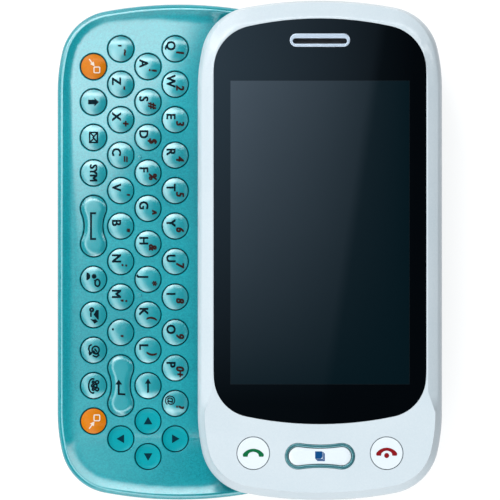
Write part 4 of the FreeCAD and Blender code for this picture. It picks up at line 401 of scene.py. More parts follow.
def window_glass(name):
    """The touch window: black border, and the switched-off display behind its middle, which has a
    faint painted glow.
    """
    low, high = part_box("display_module")
    finish = Finish(name)
    x, y, _ = finish.axes()

    def within(place, middle, side):
        """1 less than half that side from the middle, and 0 beyond it."""
        away = finish.math("ABSOLUTE", finish.math("SUBTRACT", place, middle))
        return finish.remap(away, side / 2 - DISPLAY_EDGE, side / 2, 1.0, 0.0)

    inside_x = within(x, (low.x + high.x) / 2, DISPLAY_WIDTH)
    inside_y = within(y, (low.y + high.y) / 2, DISPLAY_LENGTH)
    inside = finish.math("MULTIPLY", inside_x, inside_y)
    panel = finish.mix(finish.noise(CLOUD_SIZE, SOFT_DETAIL), DISPLAY, DISPLAY_SHADE)
    finish.colour(finish.mix(inside, WINDOW, panel))
    finish.join(inside, finish.shader.inputs["Metallic"])
    # Painted glow: over the display the window gives off a faint bluish light.
    depth = finish.mix(inside, BLACK, DISPLAY_PAINTED_GLOW)
    finish.join(depth, finish.shader.inputs["Emission Color"])
    finish.shader.inputs["Emission Strength"].default_value = 1.0
    finish.shader.inputs["Specular Tint"].default_value = GLASS_TINT
    finish.roughness(finish.noise(WINDOW_SMEAR_SIZE), *WINDOW_ROUGHNESS)
    return finish.material


# Where the pupil, the painted reflection of the coating and the glass end, as shares of the
# window's radius.
CAMERA_PUPIL = (0.17, 0.2)
CAMERA_PAINTED_REFLECTION = (0.2, 0.5)
CAMERA_GLASS_END = (0.52, 0.54)

CAMERA_RING_WAVES = 70.0
CAMERA_RING_LINE = (0.2, 0.9)


def camera_glass(name):
    """A lens seen through its window: dark pupil, the coating's coloured reflection painted on, and
    rings round the centre.
    """
    low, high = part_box("camera_lens")
    half = (high.x - low.x) / 2
    finish = Finish(name, coat=CAMERA_COAT)
    x, y, _ = finish.axes()
    away_x = finish.math("SUBTRACT", x, (low.x + high.x) / 2)
    away_y = finish.math("SUBTRACT", y, (low.y + high.y) / 2)
    square_x = finish.math("MULTIPLY", away_x, away_x)
    square_y = finish.math("MULTIPLY", away_y, away_y)
    distance = finish.math("SQRT", finish.math("ADD", square_x, square_y))
    out = finish.math("DIVIDE", distance, half)
    # Painted reflection: the coating's purple to blue tones are painted into the colour.
    coating = finish.mix(finish.remap(out, *CAMERA_PAINTED_REFLECTION), PAINTED_COATING_REFLECTION, PAINTED_COATING_REFLECTION_EDGE)
    eye = finish.mix(finish.remap(out, *CAMERA_PUPIL), LENS_PUPIL, coating)
    rings = finish.math("SINE", finish.math("MULTIPLY", out, CAMERA_RING_WAVES))
    barrel = finish.mix(finish.remap(rings, *CAMERA_RING_LINE), LENS_BEZEL, LENS_BARREL)
    finish.colour(finish.mix(finish.remap(out, *CAMERA_GLASS_END), eye, barrel))
    finish.roughness(finish.noise(GLASS_SMEAR_SIZE), *CAMERA_ROUGHNESS)
    return finish.material


SHELL_COAT_IOR = 1.8
KEY_COAT_IOR = 1.72
# Heights below which the keys take the painted gap shade.
KEY_EDGE = 7.9 * MM
ARROW_EDGE = 7.3 * MM

# One finish for each material slot. The pair of numbers is the range of the roughness, and in a
# lacquer the number before it is the share of flakes.
FINISHES = {
    "pearl_white": lacquer(
        "pearl_white_gloss", PEARL, PEARL_SHADE, 0.5, (0.28, 0.36),
        coat=0.3,
    ),
    "aqua_shell": lacquer(
        "aqua_lacquer", AQUA, AQUA_DEEP, 0.6, (0.4, 0.5),
        coat=1.0, gloss=0.16, ior=SHELL_COAT_IOR,
    ),
    "aqua_trim": lacquer(
        "teal_lacquer", TEAL, TEAL_DEEP, 0.3, (0.2, 0.26),
        metallic=0.5, coat=1.0, gloss=0.08, ior=SHELL_COAT_IOR,
    ),
    "front_key_white": lacquer(
        "front_key_gloss", KEY_WHITE, KEY_WHITE_SHADE, 0.3, (0.2, 0.28),
        coat=0.5,
    ),
    # The keys below take a painted shade under their edge, for the gap round them.
    "silver_aqua_key": lacquer(
        "silver_aqua_gloss", DOME, DOME_DEEP, 0.15, (0.3, 0.34),
        coat=1.0, gloss=0.24, ior=KEY_COAT_IOR, painted_shade_below=KEY_EDGE,
    ),
    "orange_key": lacquer(
        "orange_gloss", ORANGE, ORANGE_DEEP, 0.4, (0.3, 0.36),
        coat=0.2, gloss=0.22, painted_shade_below=KEY_EDGE,
    ),
    "turquoise_key": lacquer(
        "turquoise_gloss", TURQUOISE, TURQUOISE_DEEP, 0.3, (0.4, 0.5),
        coat=0.05, gloss=0.3, painted_shade_below=ARROW_EDGE,
    ),
    "bright_trim": lacquer(
        "bright_trim_metal", CHROME, CHROME_SHADE, 0.3, (0.3, 0.36),
        metallic=0.2,
    ),
    "window_black": dark_glass("lens_glass"),
    "display_glass": dark_glass("display_panel_glass"),
    "battery_can": moulded("battery_wrap", BATTERY_WRAP, BATTERY_WRAP_SHADE, (0.4, 0.5)),
    "circuit_board": circuit_board("solder_mask"),
    "metal_dome": moulded("dome_film", DOME_FILM, DOME_FILM_SHADE, (0.3, 0.4)),
    "soft_rubber": moulded("milky_rubber", MILKY, MILKY_SHADE, (0.5, 0.6)),
    "steel_plate": drawn_metal("steel", STEEL, STEEL_SHADE, (0.26, 0.4)),
    "light_metal": drawn_metal("cast_metal", CAST_METAL, CAST_METAL_SHADE, (0.38, 0.5), 1.0),
    "black_plastic": moulded("black_plastic_grain", CHARCOAL, CHARCOAL_SHADE, (0.5, 0.62)),
    "flex_film": flex_film("amber_film"),
}
NODE_FINISHES = {
    "touch_window": window_glass("touch_window_glass"),
    "camera_lens": camera_glass("camera_lens_glass"),
}

INKS = {
    "dark": printed_ink("ink_dark", INK),
    "red": printed_ink("ink_dark_red", INK_RED),
    "pale": printed_ink("ink_pale", INK_PALE),
    "navy": printed_ink("ink_navy", INK_NAVY),
    "green": printed_ink("ink_green", INK_GREEN),
    "crimson": printed_ink("ink_crimson", INK_CRIMSON),
    "blue": printed_ink("ink_blue", INK_BLUE),
}


# ---------------------------------------------------------------- carried-over nodes

CREASE_ANGLE = math.radians(28)
WELD_DISTANCE = 0.0005 * MM
SOFT_NODES = {"space_key", "enter_key"}


def dress_nodes():
    """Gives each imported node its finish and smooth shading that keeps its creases."""
    slot_of = {part["node"]: part["material_slot"] for part in RECORD["subparts"]}
    for name, node in NODES.items():
        material = NODE_FINISHES.get(name) or FINISHES[slot_of[name]]
        node.data.materials.clear()
        node.data.materials.append(material)
        node.data.shade_smooth()
        weld = node.modifiers.new("weld", "WELD")
        weld.merge_threshold = WELD_DISTANCE
        split = node.modifiers.new("creases", "EDGE_SPLIT")
        split.split_angle = CREASE_ANGLE
        if name not in SOFT_NODES:
            weighted = node.modifiers.new("flat_faces_first", "WEIGHTED_NORMAL")
            weighted.keep_sharp = True


def flex_springs():
    """Puts a copy of the springs' mesh in place of the node, which it hides."""
    springs = bpy.data.objects.new("slide_springs_flexing", NODES["slide_springs"].data.copy())
    bpy.context.scene.collection.objects.link(springs)
    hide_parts("slide_springs")
    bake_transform(springs)


# ---------------------------------------------------------------- flat shapes for legends
# A shape is a list of polygons. Each polygon is a list of (u, v) points in millimetres.

ARC_STEPS = 20
MITRE_LIMIT = 0.5
FONT_CURVE_STEPS = 3
LETTER_CONDENSE = 0.93


def arc_points(u, v, radius, start, stop, steps=ARC_STEPS):
    """Points on an arc, with angles in degrees."""
    points = []
    for step in range(steps + 1):
        angle = math.radians(start + (stop - start) * step / steps)
        points.append((u + radius * math.cos(angle), v + radius * math.sin(angle)))
    return points


def disc(u, v, radius):
    return [arc_points(u, v, radius, 0, 360)[:-1]]


def stroke(points, width, closed=False):
    """A line of constant width through the points, with mitred corners."""
    count = len(points)
    sides = []
    for index in range(count):
        here = Vector(points[index])
        before = Vector(points[index - 1]) if index or closed else None
        after = Vector(points[(index + 1) % count]) if index < count - 1 or closed else None
        arriving = (here - before).normalized() if before else None
        leaving = (after - here).normalized() if after else arriving
        arriving = arriving or leaving
        heading = (arriving + leaving).normalized()
        across = Vector((-heading.y, heading.x))
        reach = width / 2 / max(MITRE_LIMIT, heading.dot(leaving))
        sides.append((here + across * reach, here - across * reach))
    following = sides[1:] + sides[:1] if closed else sides[1:]
    pairs = zip(sides, following)
    return [[tuple(a[0]), tuple(b[0]), tuple(b[1]), tuple(a[1])] for a, b in pairs]


def moved(shape, du, dv):
    return [[(u + du, v + dv) for u, v in polygon] for polygon in shape]


def turned(shape, degrees):
    cosine = math.cos(math.radians(degrees))
    sine = math.sin(math.radians(degrees))
    return [
        [(u * cosine - v * sine, u * sine + v * cosine) for u, v in polygon]
        for polygon in shape
    ]


def text_mesh(body, size):
    """The built-in font's outline of a text, as a flat mesh."""
    curve = bpy.data.curves.new("legend_text", "FONT")
    curve.body = body
    curve.size = size
    curve.resolution_u = FONT_CURVE_STEPS
    holder = bpy.data.objects.new("legend_text", curve)
    bpy.context.scene.collection.objects.link(holder)
    bpy.context.view_layer.update()
    drawn = holder.evaluated_get(bpy.context.evaluated_depsgraph_get())
    mesh = bpy.data.meshes.new_from_object(drawn)
    bpy.data.objects.remove(holder)
    bpy.data.curves.remove(curve)
    return mesh


def capital_height():
    """Height of a capital for a font size of 1."""
    mesh = text_mesh("H", 1.0)
    height = max(vertex.co.y for vertex in mesh.vertices)
    bpy.data.meshes.remove(mesh)
    return height


CAPITAL = capital_height()


def lettering(body, height, u=0.0, v=0.0, slant=0.0):
    """Text as a shape, centred on (u, v), with capitals of that height."""
    mesh = text_mesh(body, height / CAPITAL)
    left = min(vertex.co.x for vertex in mesh.vertices)
    right = max(vertex.co.x for vertex in mesh.vertices)
    centre = (left + right) / 2
    shape = []
    for face in mesh.polygons:
        corners = [mesh.vertices[index].co for index in face.vertices]
        shape.append([
            (
                u + LETTER_CONDENSE * (p.x - centre) + slant * (p.y - height / 2),
                v + p.y - height / 2,
            )
            for p in corners
        ])
    bpy.data.meshes.remove(mesh)
    return shape


# ---------------------------------------------------------------- printing legends on keys

PRINT_LIFT = 0.03 * MM
LAYER_STEP = 0.003 * MM
BOLD_SIDES = [(-1, -0.7), (1, -0.7), (-1, 0.7), (1, 0.7)]
LETTER_BOLD = 0.09
SYMBOL_BOLD = 0.1
PRINT_STEP = 0.3 * MM
PRINT_SPLITS = 4
SAME_POINT = 0.001 * MM
RAY_START = 30 * MM
DOWN = Vector((0, 0, -1))


def reading_sideways(centre, u, v):
    """The keyboard reads with the phone on its side, so letters point to +X."""
    return centre[0] + v * MM, centre[1] - u * MM


def reading_upright(centre, u, v):
    return centre[0] + u * MM, centre[1] + v * MM


def print_legend(node_name, prints, reading):
    """Prints shapes on the top of a node. prints is a list of (centre, shape, ink, layer), and a
    higher layer lies over a lower one."""
    node = NODES[node_name]
    surface = BVHTree.FromPolygons(
        [vertex.co for vertex in node.data.vertices],
        [face.vertices for face in node.data.polygons],
    )
    inks = sorted({ink for _, _, ink, _ in prints})
    sheet = bmesh.new()
    for centre, shape, ink, layer in prints:
        for polygon in shape:
            places = [(*reading(centre, u, v), layer * LAYER_STEP) for u, v in polygon]
            corners = [sheet.verts.new(place) for place in places]
            sheet.faces.new(corners).material_index = inks.index(ink)
    bmesh.ops.remove_doubles(sheet, verts=sheet.verts, dist=SAME_POINT)
    bmesh.ops.triangulate(sheet, faces=sheet.faces)
    for _ in range(PRINT_SPLITS):
        long_edges = [edge for edge in sheet.edges if edge.calc_length() > PRINT_STEP]
        bmesh.ops.subdivide_edges(sheet, edges=long_edges, cuts=1)
        bmesh.ops.triangulate(sheet, faces=sheet.faces)
    for vertex in sheet.verts:
        start = Vector((vertex.co.x, vertex.co.y, RAY_START))
        hit = surface.ray_cast(start, DOWN)[0]
        vertex.co.z += hit.z + PRINT_LIFT
    bmesh.ops.recalc_face_normals(sheet, faces=sheet.faces)
    for face in sheet.faces:
        if face.normal.z < 0:
            face.normal_flip()
    mesh = bpy.data.meshes.new(f"{node_name}_legend")
    sheet.to_mesh(mesh)
    sheet.free()
    for ink in inks:
        mesh.materials.append(INKS[ink])
    mesh.shade_smooth()
    legend = bpy.data.objects.new(f"{node_name}_legend", mesh)
    bpy.context.scene.collection.objects.link(legend)
    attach(legend, f"{node_name}_body")


LETTER_HEIGHT = 1.86
AT_SIGN_HEIGHT = 1.6
AT_SIGN_BOLD = 0.04
SYMBOL_HEIGHT = 1.6
LETTER_PLACE = (-0.68, -0.93)
SYMBOL_PLACE = (0.85, 1.05)
SYMBOL_SLANT = 0.12
WORD_HEIGHT = 1.5


def key_centres(node_name, count):
    """Centres of a line of equal round keys, from the top one down."""
    low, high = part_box(node_name)
    radius = (high.x - low.x) / 2
    pitch = (high.y - low.y - 2 * radius) / max(1, count - 1)
    return [(low.x + radius, high.y - radius - pitch * k) for k in range(count)]


def bold(centre, shape, ink, by):
    """The prints of one shape whose lines come out thicker, as copies a little apart."""
    prints = []
    for layer, (u, v) in enumerate(BOLD_SIDES):
        prints.append((centre, moved(shape, u * by, v * by), ink, layer))
    return prints


def print_letters(node_name, pairs):
    """Prints a letter at the lower left of each key and its symbol at the upper right."""
    prints = []
    for centre, (letter, symbol) in zip(key_centres(node_name, len(pairs)), pairs):
        height, thicker = LETTER_HEIGHT, LETTER_BOLD
        if letter == "@":
            height, thicker = AT_SIGN_HEIGHT, AT_SIGN_BOLD
        prints += bold(centre, lettering(letter, height, *LETTER_PLACE), "dark", thicker)
        shape = lettering(symbol, SYMBOL_HEIGHT, *SYMBOL_PLACE, SYMBOL_SLANT)
        prints += bold(centre, shape, "red", SYMBOL_BOLD)
    print_legend(node_name, prints, reading_sideways)


def middle(node_name):
    low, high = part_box(node_name)
    return (low.x + high.x) / 2, (low.y + high.y) / 2


def print_glyph(node_name, shape, ink="dark", reading=reading_sideways):
    """Prints one shape at the middle of a key."""
    print_legend(node_name, [(middle(node_name), shape, ink, 0)], reading)


def block_arrow():
    """The solid shift arrow, pointing up as it is read."""
    length, head_length = 2.35, 1.0
    half_head, half_shaft = 0.95, 0.5
    tip = length / 2
    neck = tip - head_length
    head = [(-half_head, neck), (half_head, neck), (0, tip)]
    shaft = [(-half_shaft, -tip), (half_shaft, -tip), (half_shaft, neck), (-half_shaft, neck)]
    return [head, shaft]


def thin_arrow(points, width, head_length, half_head):
    """A line with an arrow head at its last point."""
    start, tip = Vector(points[-2]), Vector(points[-1])
    heading = (tip - start).normalized()
    across = Vector((-heading.y, heading.x))
    neck = tip - heading * head_length
    head = [tuple(tip), tuple(neck + across * half_head), tuple(neck - across * half_head)]
    return stroke(points[:-1] + [tuple(neck)], width) + [head]


def triangle(radius):
    """A small triangle that points up."""
    foot = -radius * 0.75
    return [[(0, radius), (-radius, foot), (radius, foot)]]


def envelope():
    width, height, line = 2.2, 1.7, 0.32
    left, top = -width / 2, height / 2
    frame_line = [(left, -top), (-left, -top), (-left, top), (left, top)]
    flap = [(left, top), (0, -top * 0.1), (-left, top)]
    folds = stroke([(left, -top), (left * 0.25, 0)], line)
    folds += stroke([(-left, -top), (-left * 0.25, 0)], line)
    return stroke(frame_line, line, closed=True) + stroke(flap, line) + folds


def bracket():
    """The open bracket that marks the space key."""
    width, depth, line = 5.6, 1.1, 0.42
    right, top = width / 2, depth / 2
    return stroke([(-right, top), (-right, -top), (right, -top), (right, top)], line)


def oval(u, v, half_u, half_v, line, start=0, stop=360):
    """An oval line, closed where it goes all the way round."""
    closed = stop - start == 360
    angles = arc_points(0, 0, 1, start, stop)
    points = [(u + half_u * a, v + half_v * b) for a, b in angles]
    return stroke(points[:-1] if closed else points, line, closed)


def contacts_glyph():
    """Head and shoulders, and a speech bubble."""
    line = 0.36
    shoulders = [arc_points(-0.65, -1.55, 0.84, 0, 180)]
    bubble = oval(0.78, 0.84, 0.75, 0.52, line)
    tail = [[(0.08, 0.02), (0.5, 0.2), (0.18, 0.62)]]
    return disc(-0.65, 0.12, 0.53) + shoulders + bubble + tail


def media_glyph():
    """A music note, a picture corner and a pen."""
    note = oval(-1.09, -0.4, 0.34, 0.34, 0.44)
    stem = stroke([(-0.55, -0.58), (0.47, -0.58)], 0.34)
    picture = [[(-1.03, 0.56), (0, 0), (1.05, 0.95), (1.05, 1.12), (-1.03, 1.12)]]
    pen = [[(0.9, -0.75), (1.05, 0), (0.9, 0.4), (1.45, 0.95), (1.95, 0.2), (1.4, -0.25)]]
    return note + stem + picture + pen


def share_glyph():
    """A ruled speech bubble with an arrow that comes out of it."""
    line = 0.34
    bubble = oval(-0.05, 0.45, 0.82, 0.78, line)
    rules = stroke([(-0.35, 0.2), (0.35, 0.75)], line) + stroke([(0.05, -0.05), (0.6, 0.35)], line)
    tail = stroke([(-1.25, -0.4), (-0.9, -0.95), (-0.2, -1.05), (0.45, -0.8)], line)
    head = [[(0.35, -0.3), (0.5, -1.15), (1.2, -0.95), (0.9, -0.35)]]
    hook = stroke([(0.85, 0.3), (0.75, 1.0), (1.1, 1.15), (1.5, 0.6), (1.15, -0.2)], line)
    return bubble + rules + tail + head + hook


def web_glyph():
    """Three small figures in a bowl."""
    line = 0.34
    bowl = oval(0.05, -0.2, 1.55, 0.86, line, -205, 25)
    figures = []
    for u, rise in ((-0.75, 0.35), (0.03, 0.0), (0.78, 0.35)):
        figures += oval(u, 0.42 + rise, 0.34, 0.34, line)
        figures += oval(u, -0.25 + rise / 2, 0.24, 0.2, line)
    return bowl + figures


def soft_key_glyph(side):
    """A pointer and a rounded square. side is 1 for the left soft key and -1 for the right one."""
    half, corner, line = 0.62, 0.2, 0.24
    square = []
    for quarter, (su, sv) in enumerate([(1, 1), (-1, 1), (-1, -1), (1, -1)]):
        u, v = su * (half - corner), sv * (half - corner)
        square += arc_points(u, v, corner, quarter * 90, quarter * 90 + 90, 4)
    pointer = thin_arrow([(-1.65 * side, -0.95), (-0.05 * side, 0.2)], line, 0.95, 0.5)
    return moved(stroke(square, line, closed=True), 0.72 * side, 0.72) + pointer


def handset():
    """A telephone handset lying face down, as one outline."""
    half_width, half_height = 2.26, 0.86
    bow_thickness, ear_width, ear_height, ear_cut = 0.64, 1.16, 0.56, 0.15
    neck = -half_height + ear_height
    inner_half = half_width - ear_width
    outline = bow(half_width, neck, half_height)
    outline += [(half_width, ear_cut - half_height), (half_width - ear_cut, -half_height)]
    outline += [(inner_half + ear_cut, -half_height)]
    outline += bow(inner_half, neck, half_height - bow_thickness)[::-1]
    outline += [(-inner_half - ear_cut, -half_height), (-half_width + ear_cut, -half_height)]
    outline += [(-half_width, ear_cut - half_height)]
    return [outline]


def bow(half_width, low, high):
    """An arc from left to right over the middle."""
    rise = high - low
    radius = (half_width ** 2 + rise ** 2) / (2 * rise)
    half_angle = math.degrees(math.asin(half_width / radius))
    return arc_points(0, high - radius, radius, 90 + half_angle, 90 - half_angle)


def stacked_pages():
    """A sheet, and the lower right edges of two more behind it."""
    half, step, line, cut = 1.05, 0.26, 0.2, 0.35
    right, low = half - 2 * step, -half + 2 * step
    sheets = [[(-half, low), (right - cut, low), (right, low + cut), (right, half), (-half, half)]]
    for number in (1, 2):
        out = step * number - line / 2
        edge = [(right + out, half - out), (right + out, low - out), (-half + out, low - out)]
        sheets += stroke(edge, line)
    return sheets


# The letter and the symbol of each key, from the top of the phone down.
LETTER_LINES = {
    "letter_keys_q_to_t": [("Q", "1"), ("W", "2"), ("E", "3"), ("R", "4"), ("T", "5")],
    "letter_keys_y_to_p": [("Y", "6"), ("U", "7"), ("I", "8"), ("O", "9"), ("P", "0+"), ("@", "?")],
    "letter_keys_a_to_g": [("A", "!"), ("S", "#"), ("D", "$"), ("F", "%"), ("G", "^")],
    "letter_keys_h_to_l": [("H", "&"), ("J", "*"), ("K", "("), ("L", ")")],
    "letter_keys_z_to_v": [("'", "~"), ("Z", "-"), ("X", "+"), ("C", "="), ("V", "'")],
    "letter_keys_b_to_m": [("B", "\""), ("N", ":"), ("M", ";"), (".", ",")],
}
# Degrees anticlockwise from +X, with the phone held upright.
ARROW_TURNS = {"up": 90, "left": 180, "down": 270, "right": 0}
ARROW_RADIUS = 0.95


def back_arrow():
    """The thin arrow of the backspace key, which points to the left as it is read."""
    width, head_length, half_head = 0.4, 1.1, 0.68
    return thin_arrow([(1.5, 0), (-1.55, 0)], width, head_length, half_head)


def enter_arrow():
    """The thin arrow that comes down and turns to the left."""
    width, head_length, half_head = 0.42, 1.1, 0.75
    points = [(1.6, 1.1), (1.5, -0.35), (-1.65, -0.35)]
    return moved(thin_arrow(points, width, head_length, half_head), 0.3, -0.1)


def print_keyboard():
    for node_name, pairs in LETTER_LINES.items():
        print_letters(node_name, pairs)
    print_glyph("shift_key", block_arrow())
    print_glyph("message_key", envelope())
    word = lettering("SYM", WORD_HEIGHT)
    word_prints = bold(middle("symbol_key"), word, "dark", SYMBOL_BOLD)
    print_legend("symbol_key", word_prints, reading_sideways)
    print_glyph("space_key", bracket())
    print_glyph("contacts_key", contacts_glyph())
    print_glyph("media_key", media_glyph())
    print_glyph("share_key", share_glyph())
    print_glyph("web_key", web_glyph())
    print_glyph("left_soft_key", soft_key_glyph(1), "pale")
    print_glyph("right_soft_key", soft_key_glyph(-1), "pale")
    print_glyph("backspace_key", back_arrow())
    print_glyph("enter_key", enter_arrow())
    for direction, degrees in ARROW_TURNS.items():
        print_glyph(f"arrow_{direction}_key", turned(triangle(ARROW_RADIUS), degrees), "navy")


CALL_SIGN_RISE = 0.1
END_SIGN_RISE = 0.33
END_DOT_PLACE = (0, -0.5)
END_DOT_RADIUS = 0.54


def print_front_keys():
    call = moved(handset(), 0, CALL_SIGN_RISE)
    print_glyph("call_key", call, "green", reading_upright)
    end = moved(handset(), 0, END_SIGN_RISE) + disc(*END_DOT_PLACE, END_DOT_RADIUS)
    print_glyph("end_key", end, "crimson", reading_upright)
    print_glyph("menu_key", stacked_pages(), "blue", reading_upright)


# ---------------------------------------------------------------- camera, floor and lights

PICTURE_SIDE = 108.5 * MM
PICTURE_CENTRE = (15.34 * MM, 0.08 * MM)
SENSOR = 36.0
LENS = 800.0
FRONT_LEVEL = 12 * MM
CAMERA_REACH = 20.0


def add_camera():
    """A long lens straight above, so that the picture is as good as parallel."""
    data = bpy.data.cameras.new("camera")
    data.sensor_width = SENSOR
    data.lens = LENS
    data.clip_end = CAMERA_REACH
    camera = bpy.data.objects.new("camera", data)
    camera.location = (*PICTURE_CENTRE, PICTURE_SIDE * LENS / SENSOR + FRONT_LEVEL)
    bpy.context.scene.collection.objects.link(camera)
    bpy.context.scene.camera = camera


def plane(name, side, centre):
    mesh = bpy.data.meshes.new(name)
    half = side / 2
    corners = [(-half, -half, 0), (half, -half, 0), (half, half, 0), (-half, half, 0)]
    mesh.from_pydata(corners, [], [(0, 1, 2, 3)])
    flat = bpy.data.objects.new(name, mesh)
    flat.location = centre
    bpy.context.scene.collection.objects.link(flat)
    return flat


FLOOR_SIDE = 6.0
FLOOR_GAP = 0.1 * MM
FLOOR_GLOW = 0.78
FLOOR_COLOUR = (0.32, 0.32, 0.32, 1)


def seen_directly(tree):
    """1 for camera, glossy and transmitted rays, and 0 for the light that fills the scene."""
    path = tree.nodes.new("ShaderNodeLightPath")
    total = path.outputs["Is Camera Ray"]
    for name in ("Is Glossy Ray", "Is Transmission Ray"):
        add = tree.nodes.new("ShaderNodeMath")
        add.operation = "MAXIMUM"
        tree.links.new(total, add.inputs[0])
        tree.links.new(path.outputs[name], add.inputs[1])
        total = add.outputs[0]
    return total


def add_floor():
    """A pale floor that looks white and still takes the phone's shadow."""
    floor = plane("floor", FLOOR_SIDE, (0, 0, -FLOOR_GAP))
    material = bpy.data.materials.new("floor_white")
    material.use_nodes = True
    tree = material.node_tree
    shader = tree.nodes["Principled BSDF"]
    shader.inputs["Base Color"].default_value = FLOOR_COLOUR
    shader.inputs["Roughness"].default_value = 1.0
    shader.inputs["Specular IOR Level"].default_value = 0.0
    glow = tree.nodes.new("ShaderNodeMath")
    glow.operation = "MULTIPLY"
    glow.inputs[1].default_value = FLOOR_GLOW
    tree.links.new(seen_directly(tree), glow.inputs[0])
    shader.inputs["Emission Color"].default_value = WHITE
    tree.links.new(glow.outputs[0], shader.inputs["Emission Strength"])
    floor.data.materials.append(material)


WORLD_COLOUR = (0.9, 0.95, 1.0, 1)
WORLD_STRENGTH = 0.57


def add_world():
    """Even light from all round, and white where the camera looks past the floor."""
    world = bpy.data.worlds.new("studio")
    bpy.context.scene.world = world
    world.use_nodes = True
    tree = world.node_tree
    background = tree.nodes["Background"]
    tint = tree.nodes.new("ShaderNodeMix")
    tint.data_type = "RGBA"
    direct = seen_directly(tree)
    tree.links.new(direct, tint.inputs["Factor"])
    colours = [socket for socket in tint.inputs if socket.type == "RGBA"]
    colours[0].default_value = WORLD_COLOUR
    colours[1].default_value = WHITE
    tinted = [socket for socket in tint.outputs if socket.type == "RGBA"][0]
    tree.links.new(tinted, background.inputs["Color"])
    strength = tree.nodes.new("ShaderNodeMapRange")
    strength.inputs["To Min"].default_value = WORLD_STRENGTH
    strength.inputs["To Max"].default_value = 1.0
    tree.links.new(direct, strength.inputs["Value"])
    tree.links.new(strength.outputs["Result"], background.inputs["Strength"])


LIGHT_AIM = (0.015, 0, 0)
KEY_LIGHT_PLACE = (-0.55, 1.1, 0.78)
KEY_LIGHT_SIDE = 0.7
KEY_LIGHT_POWER = 17.4
FILL_LIGHT_PLACE = (-0.1, -1.1, 0.72)
FILL_LIGHT_SIDE = 0.9
FILL_LIGHT_POWER = 11.6


def add_softbox(name, place, side, power):
    """A square soft lamp that faces the phone."""
    data = bpy.data.lights.new(name, "AREA")
    data.size = side
    data.energy = power
    lamp = bpy.data.objects.new(name, data)
    lamp.location = place
    towards = Vector(LIGHT_AIM) - Vector(place)
    lamp.rotation_euler = towards.to_track_quat("-Z", "Y").to_euler()
    bpy.context.scene.collection.objects.link(lamp)


# The cards are overhead and only reflections see them. A band (start, full, fade, end) and a
# slope (from, to) are in millimetres in the card's plane. A lean is a direction in that plane.
CARD_SIDE = 0.9

SKY_CARD_HEIGHT = 150 * MM
SKY_SIDE_LEAN = (-0.9, -0.436)
SKY_SIDE_BAND = (44, 105, 110, 142)
SKY_SIDE_LIGHT = 5.0
SKY_TOP_BAND = (92, 112, 124, 142)
SKY_TOP_LIGHT = 9.0
SKY_WINDOW_BAND_X = (4, 7, 75, 90)
SKY_WINDOW_BAND_Y = (-75, -60, 60, 75)
SKY_WINDOW_TINT = (0.62, 0.8, 1.0, 1.0)
SKY_WINDOW_SLOPE_X = (8, 53)
SKY_WINDOW_SLOPE_Y = (-35, 42)
SKY_WINDOW_LOW_LIGHT = 0.05
SKY_WINDOW_HIGH_LIGHT = 1.3
SKY_WINDOW_EDGE_LEAN = (1.0, -0.154)
SKY_WINDOW_EDGE = (36.5, 39.0)
SKY_WINDOW_BEYOND_EDGE = 0.4

DECK_CARD_HEIGHT = 48 * MM
DECK_EDGE_LEAN = (-0.881, 0.474)
DECK_EDGE = (18.5, 22.5)
DECK_SLOPE_Y = (-12, 34)
DECK_LIGHT = 4.2
DECK_REST_SLOPE_X = (-24, 3)
DECK_REST_LIGHT = 0.8
DECK_BAND_X = (-50, -36, 4, 7)
DECK_BAND_Y = (-75, -60, 62, 76)


def light_surface(name, corners):
    """A flat surface that only reflections see."""
    mesh = bpy.data.meshes.new(name)
    mesh.from_pydata(corners, [], [(0, 1, 2, 3)])
    surface = bpy.data.objects.new(name, mesh)
    bpy.context.scene.collection.objects.link(surface)
    surface.visible_camera = False
    surface.visible_diffuse = False
    surface.visible_shadow = False
    surface.visible_transmission = False
    return surface


def glowing(finish, colour, strength, see_through):
    """Turns a finish into a glow, which is see-through or hides what is behind it."""
    emission = finish.node("ShaderNodeEmission")
    if isinstance(colour, tuple):
        emission.inputs["Color"].default_value = colour
    else:
        finish.join(colour, emission.inputs["Color"])
    finish.join(strength, emission.inputs["Strength"])
    shader = emission.outputs["Emission"]
    if see_through:
        clear = finish.node("ShaderNodeBsdfTransparent")
        both = finish.node("ShaderNodeAddShader")
        finish.join(clear.outputs["BSDF"], both.inputs[0])
        finish.join(shader, both.inputs[1])
        shader = both.outputs["Shader"]
    finish.join(shader, finish.tree.nodes["Material Output"].inputs["Surface"])
    finish.tree.nodes.remove(finish.shader)


def reflection_card(name, height, glow, see_through):
    """A card overhead. glow(finish, x, y) gives its colour and brightness."""
    half = CARD_SIDE / 2
    flat_corners = [(-half, -half), (half, -half), (half, half), (-half, half)]
    card = light_surface(name, [(x, y, height) for x, y in flat_corners])
    finish = Finish(f"{name}_glow")
    x, y, _ = finish.axes()
    glowing(finish, *glow(finish, x, y), see_through)
    card.data.materials.append(finish.material)


def along(finish, x, y, lean):
    """Distance along a direction in the card's plane."""
    part_x = finish.math("MULTIPLY", x, lean[0])
    part_y = finish.math("MULTIPLY", y, lean[1])
    return finish.math("ADD", part_x, part_y)


def slope(finish, value, ends, to_low=0.0, to_high=1.0):
    """A steady change from one level to another between two ends."""
    start, end = ends
    return finish.remap(value, start * MM, end * MM, to_low, to_high)


def band(finish, value, limits):
    """1 between full and fade, and 0 before start and after end."""
    start, full, fade, end = limits
    rise = slope(finish, value, (start, full))
    fall = slope(finish, value, (fade, end), 1.0, 0.0)
    return finish.math("MULTIPLY", rise, fall)


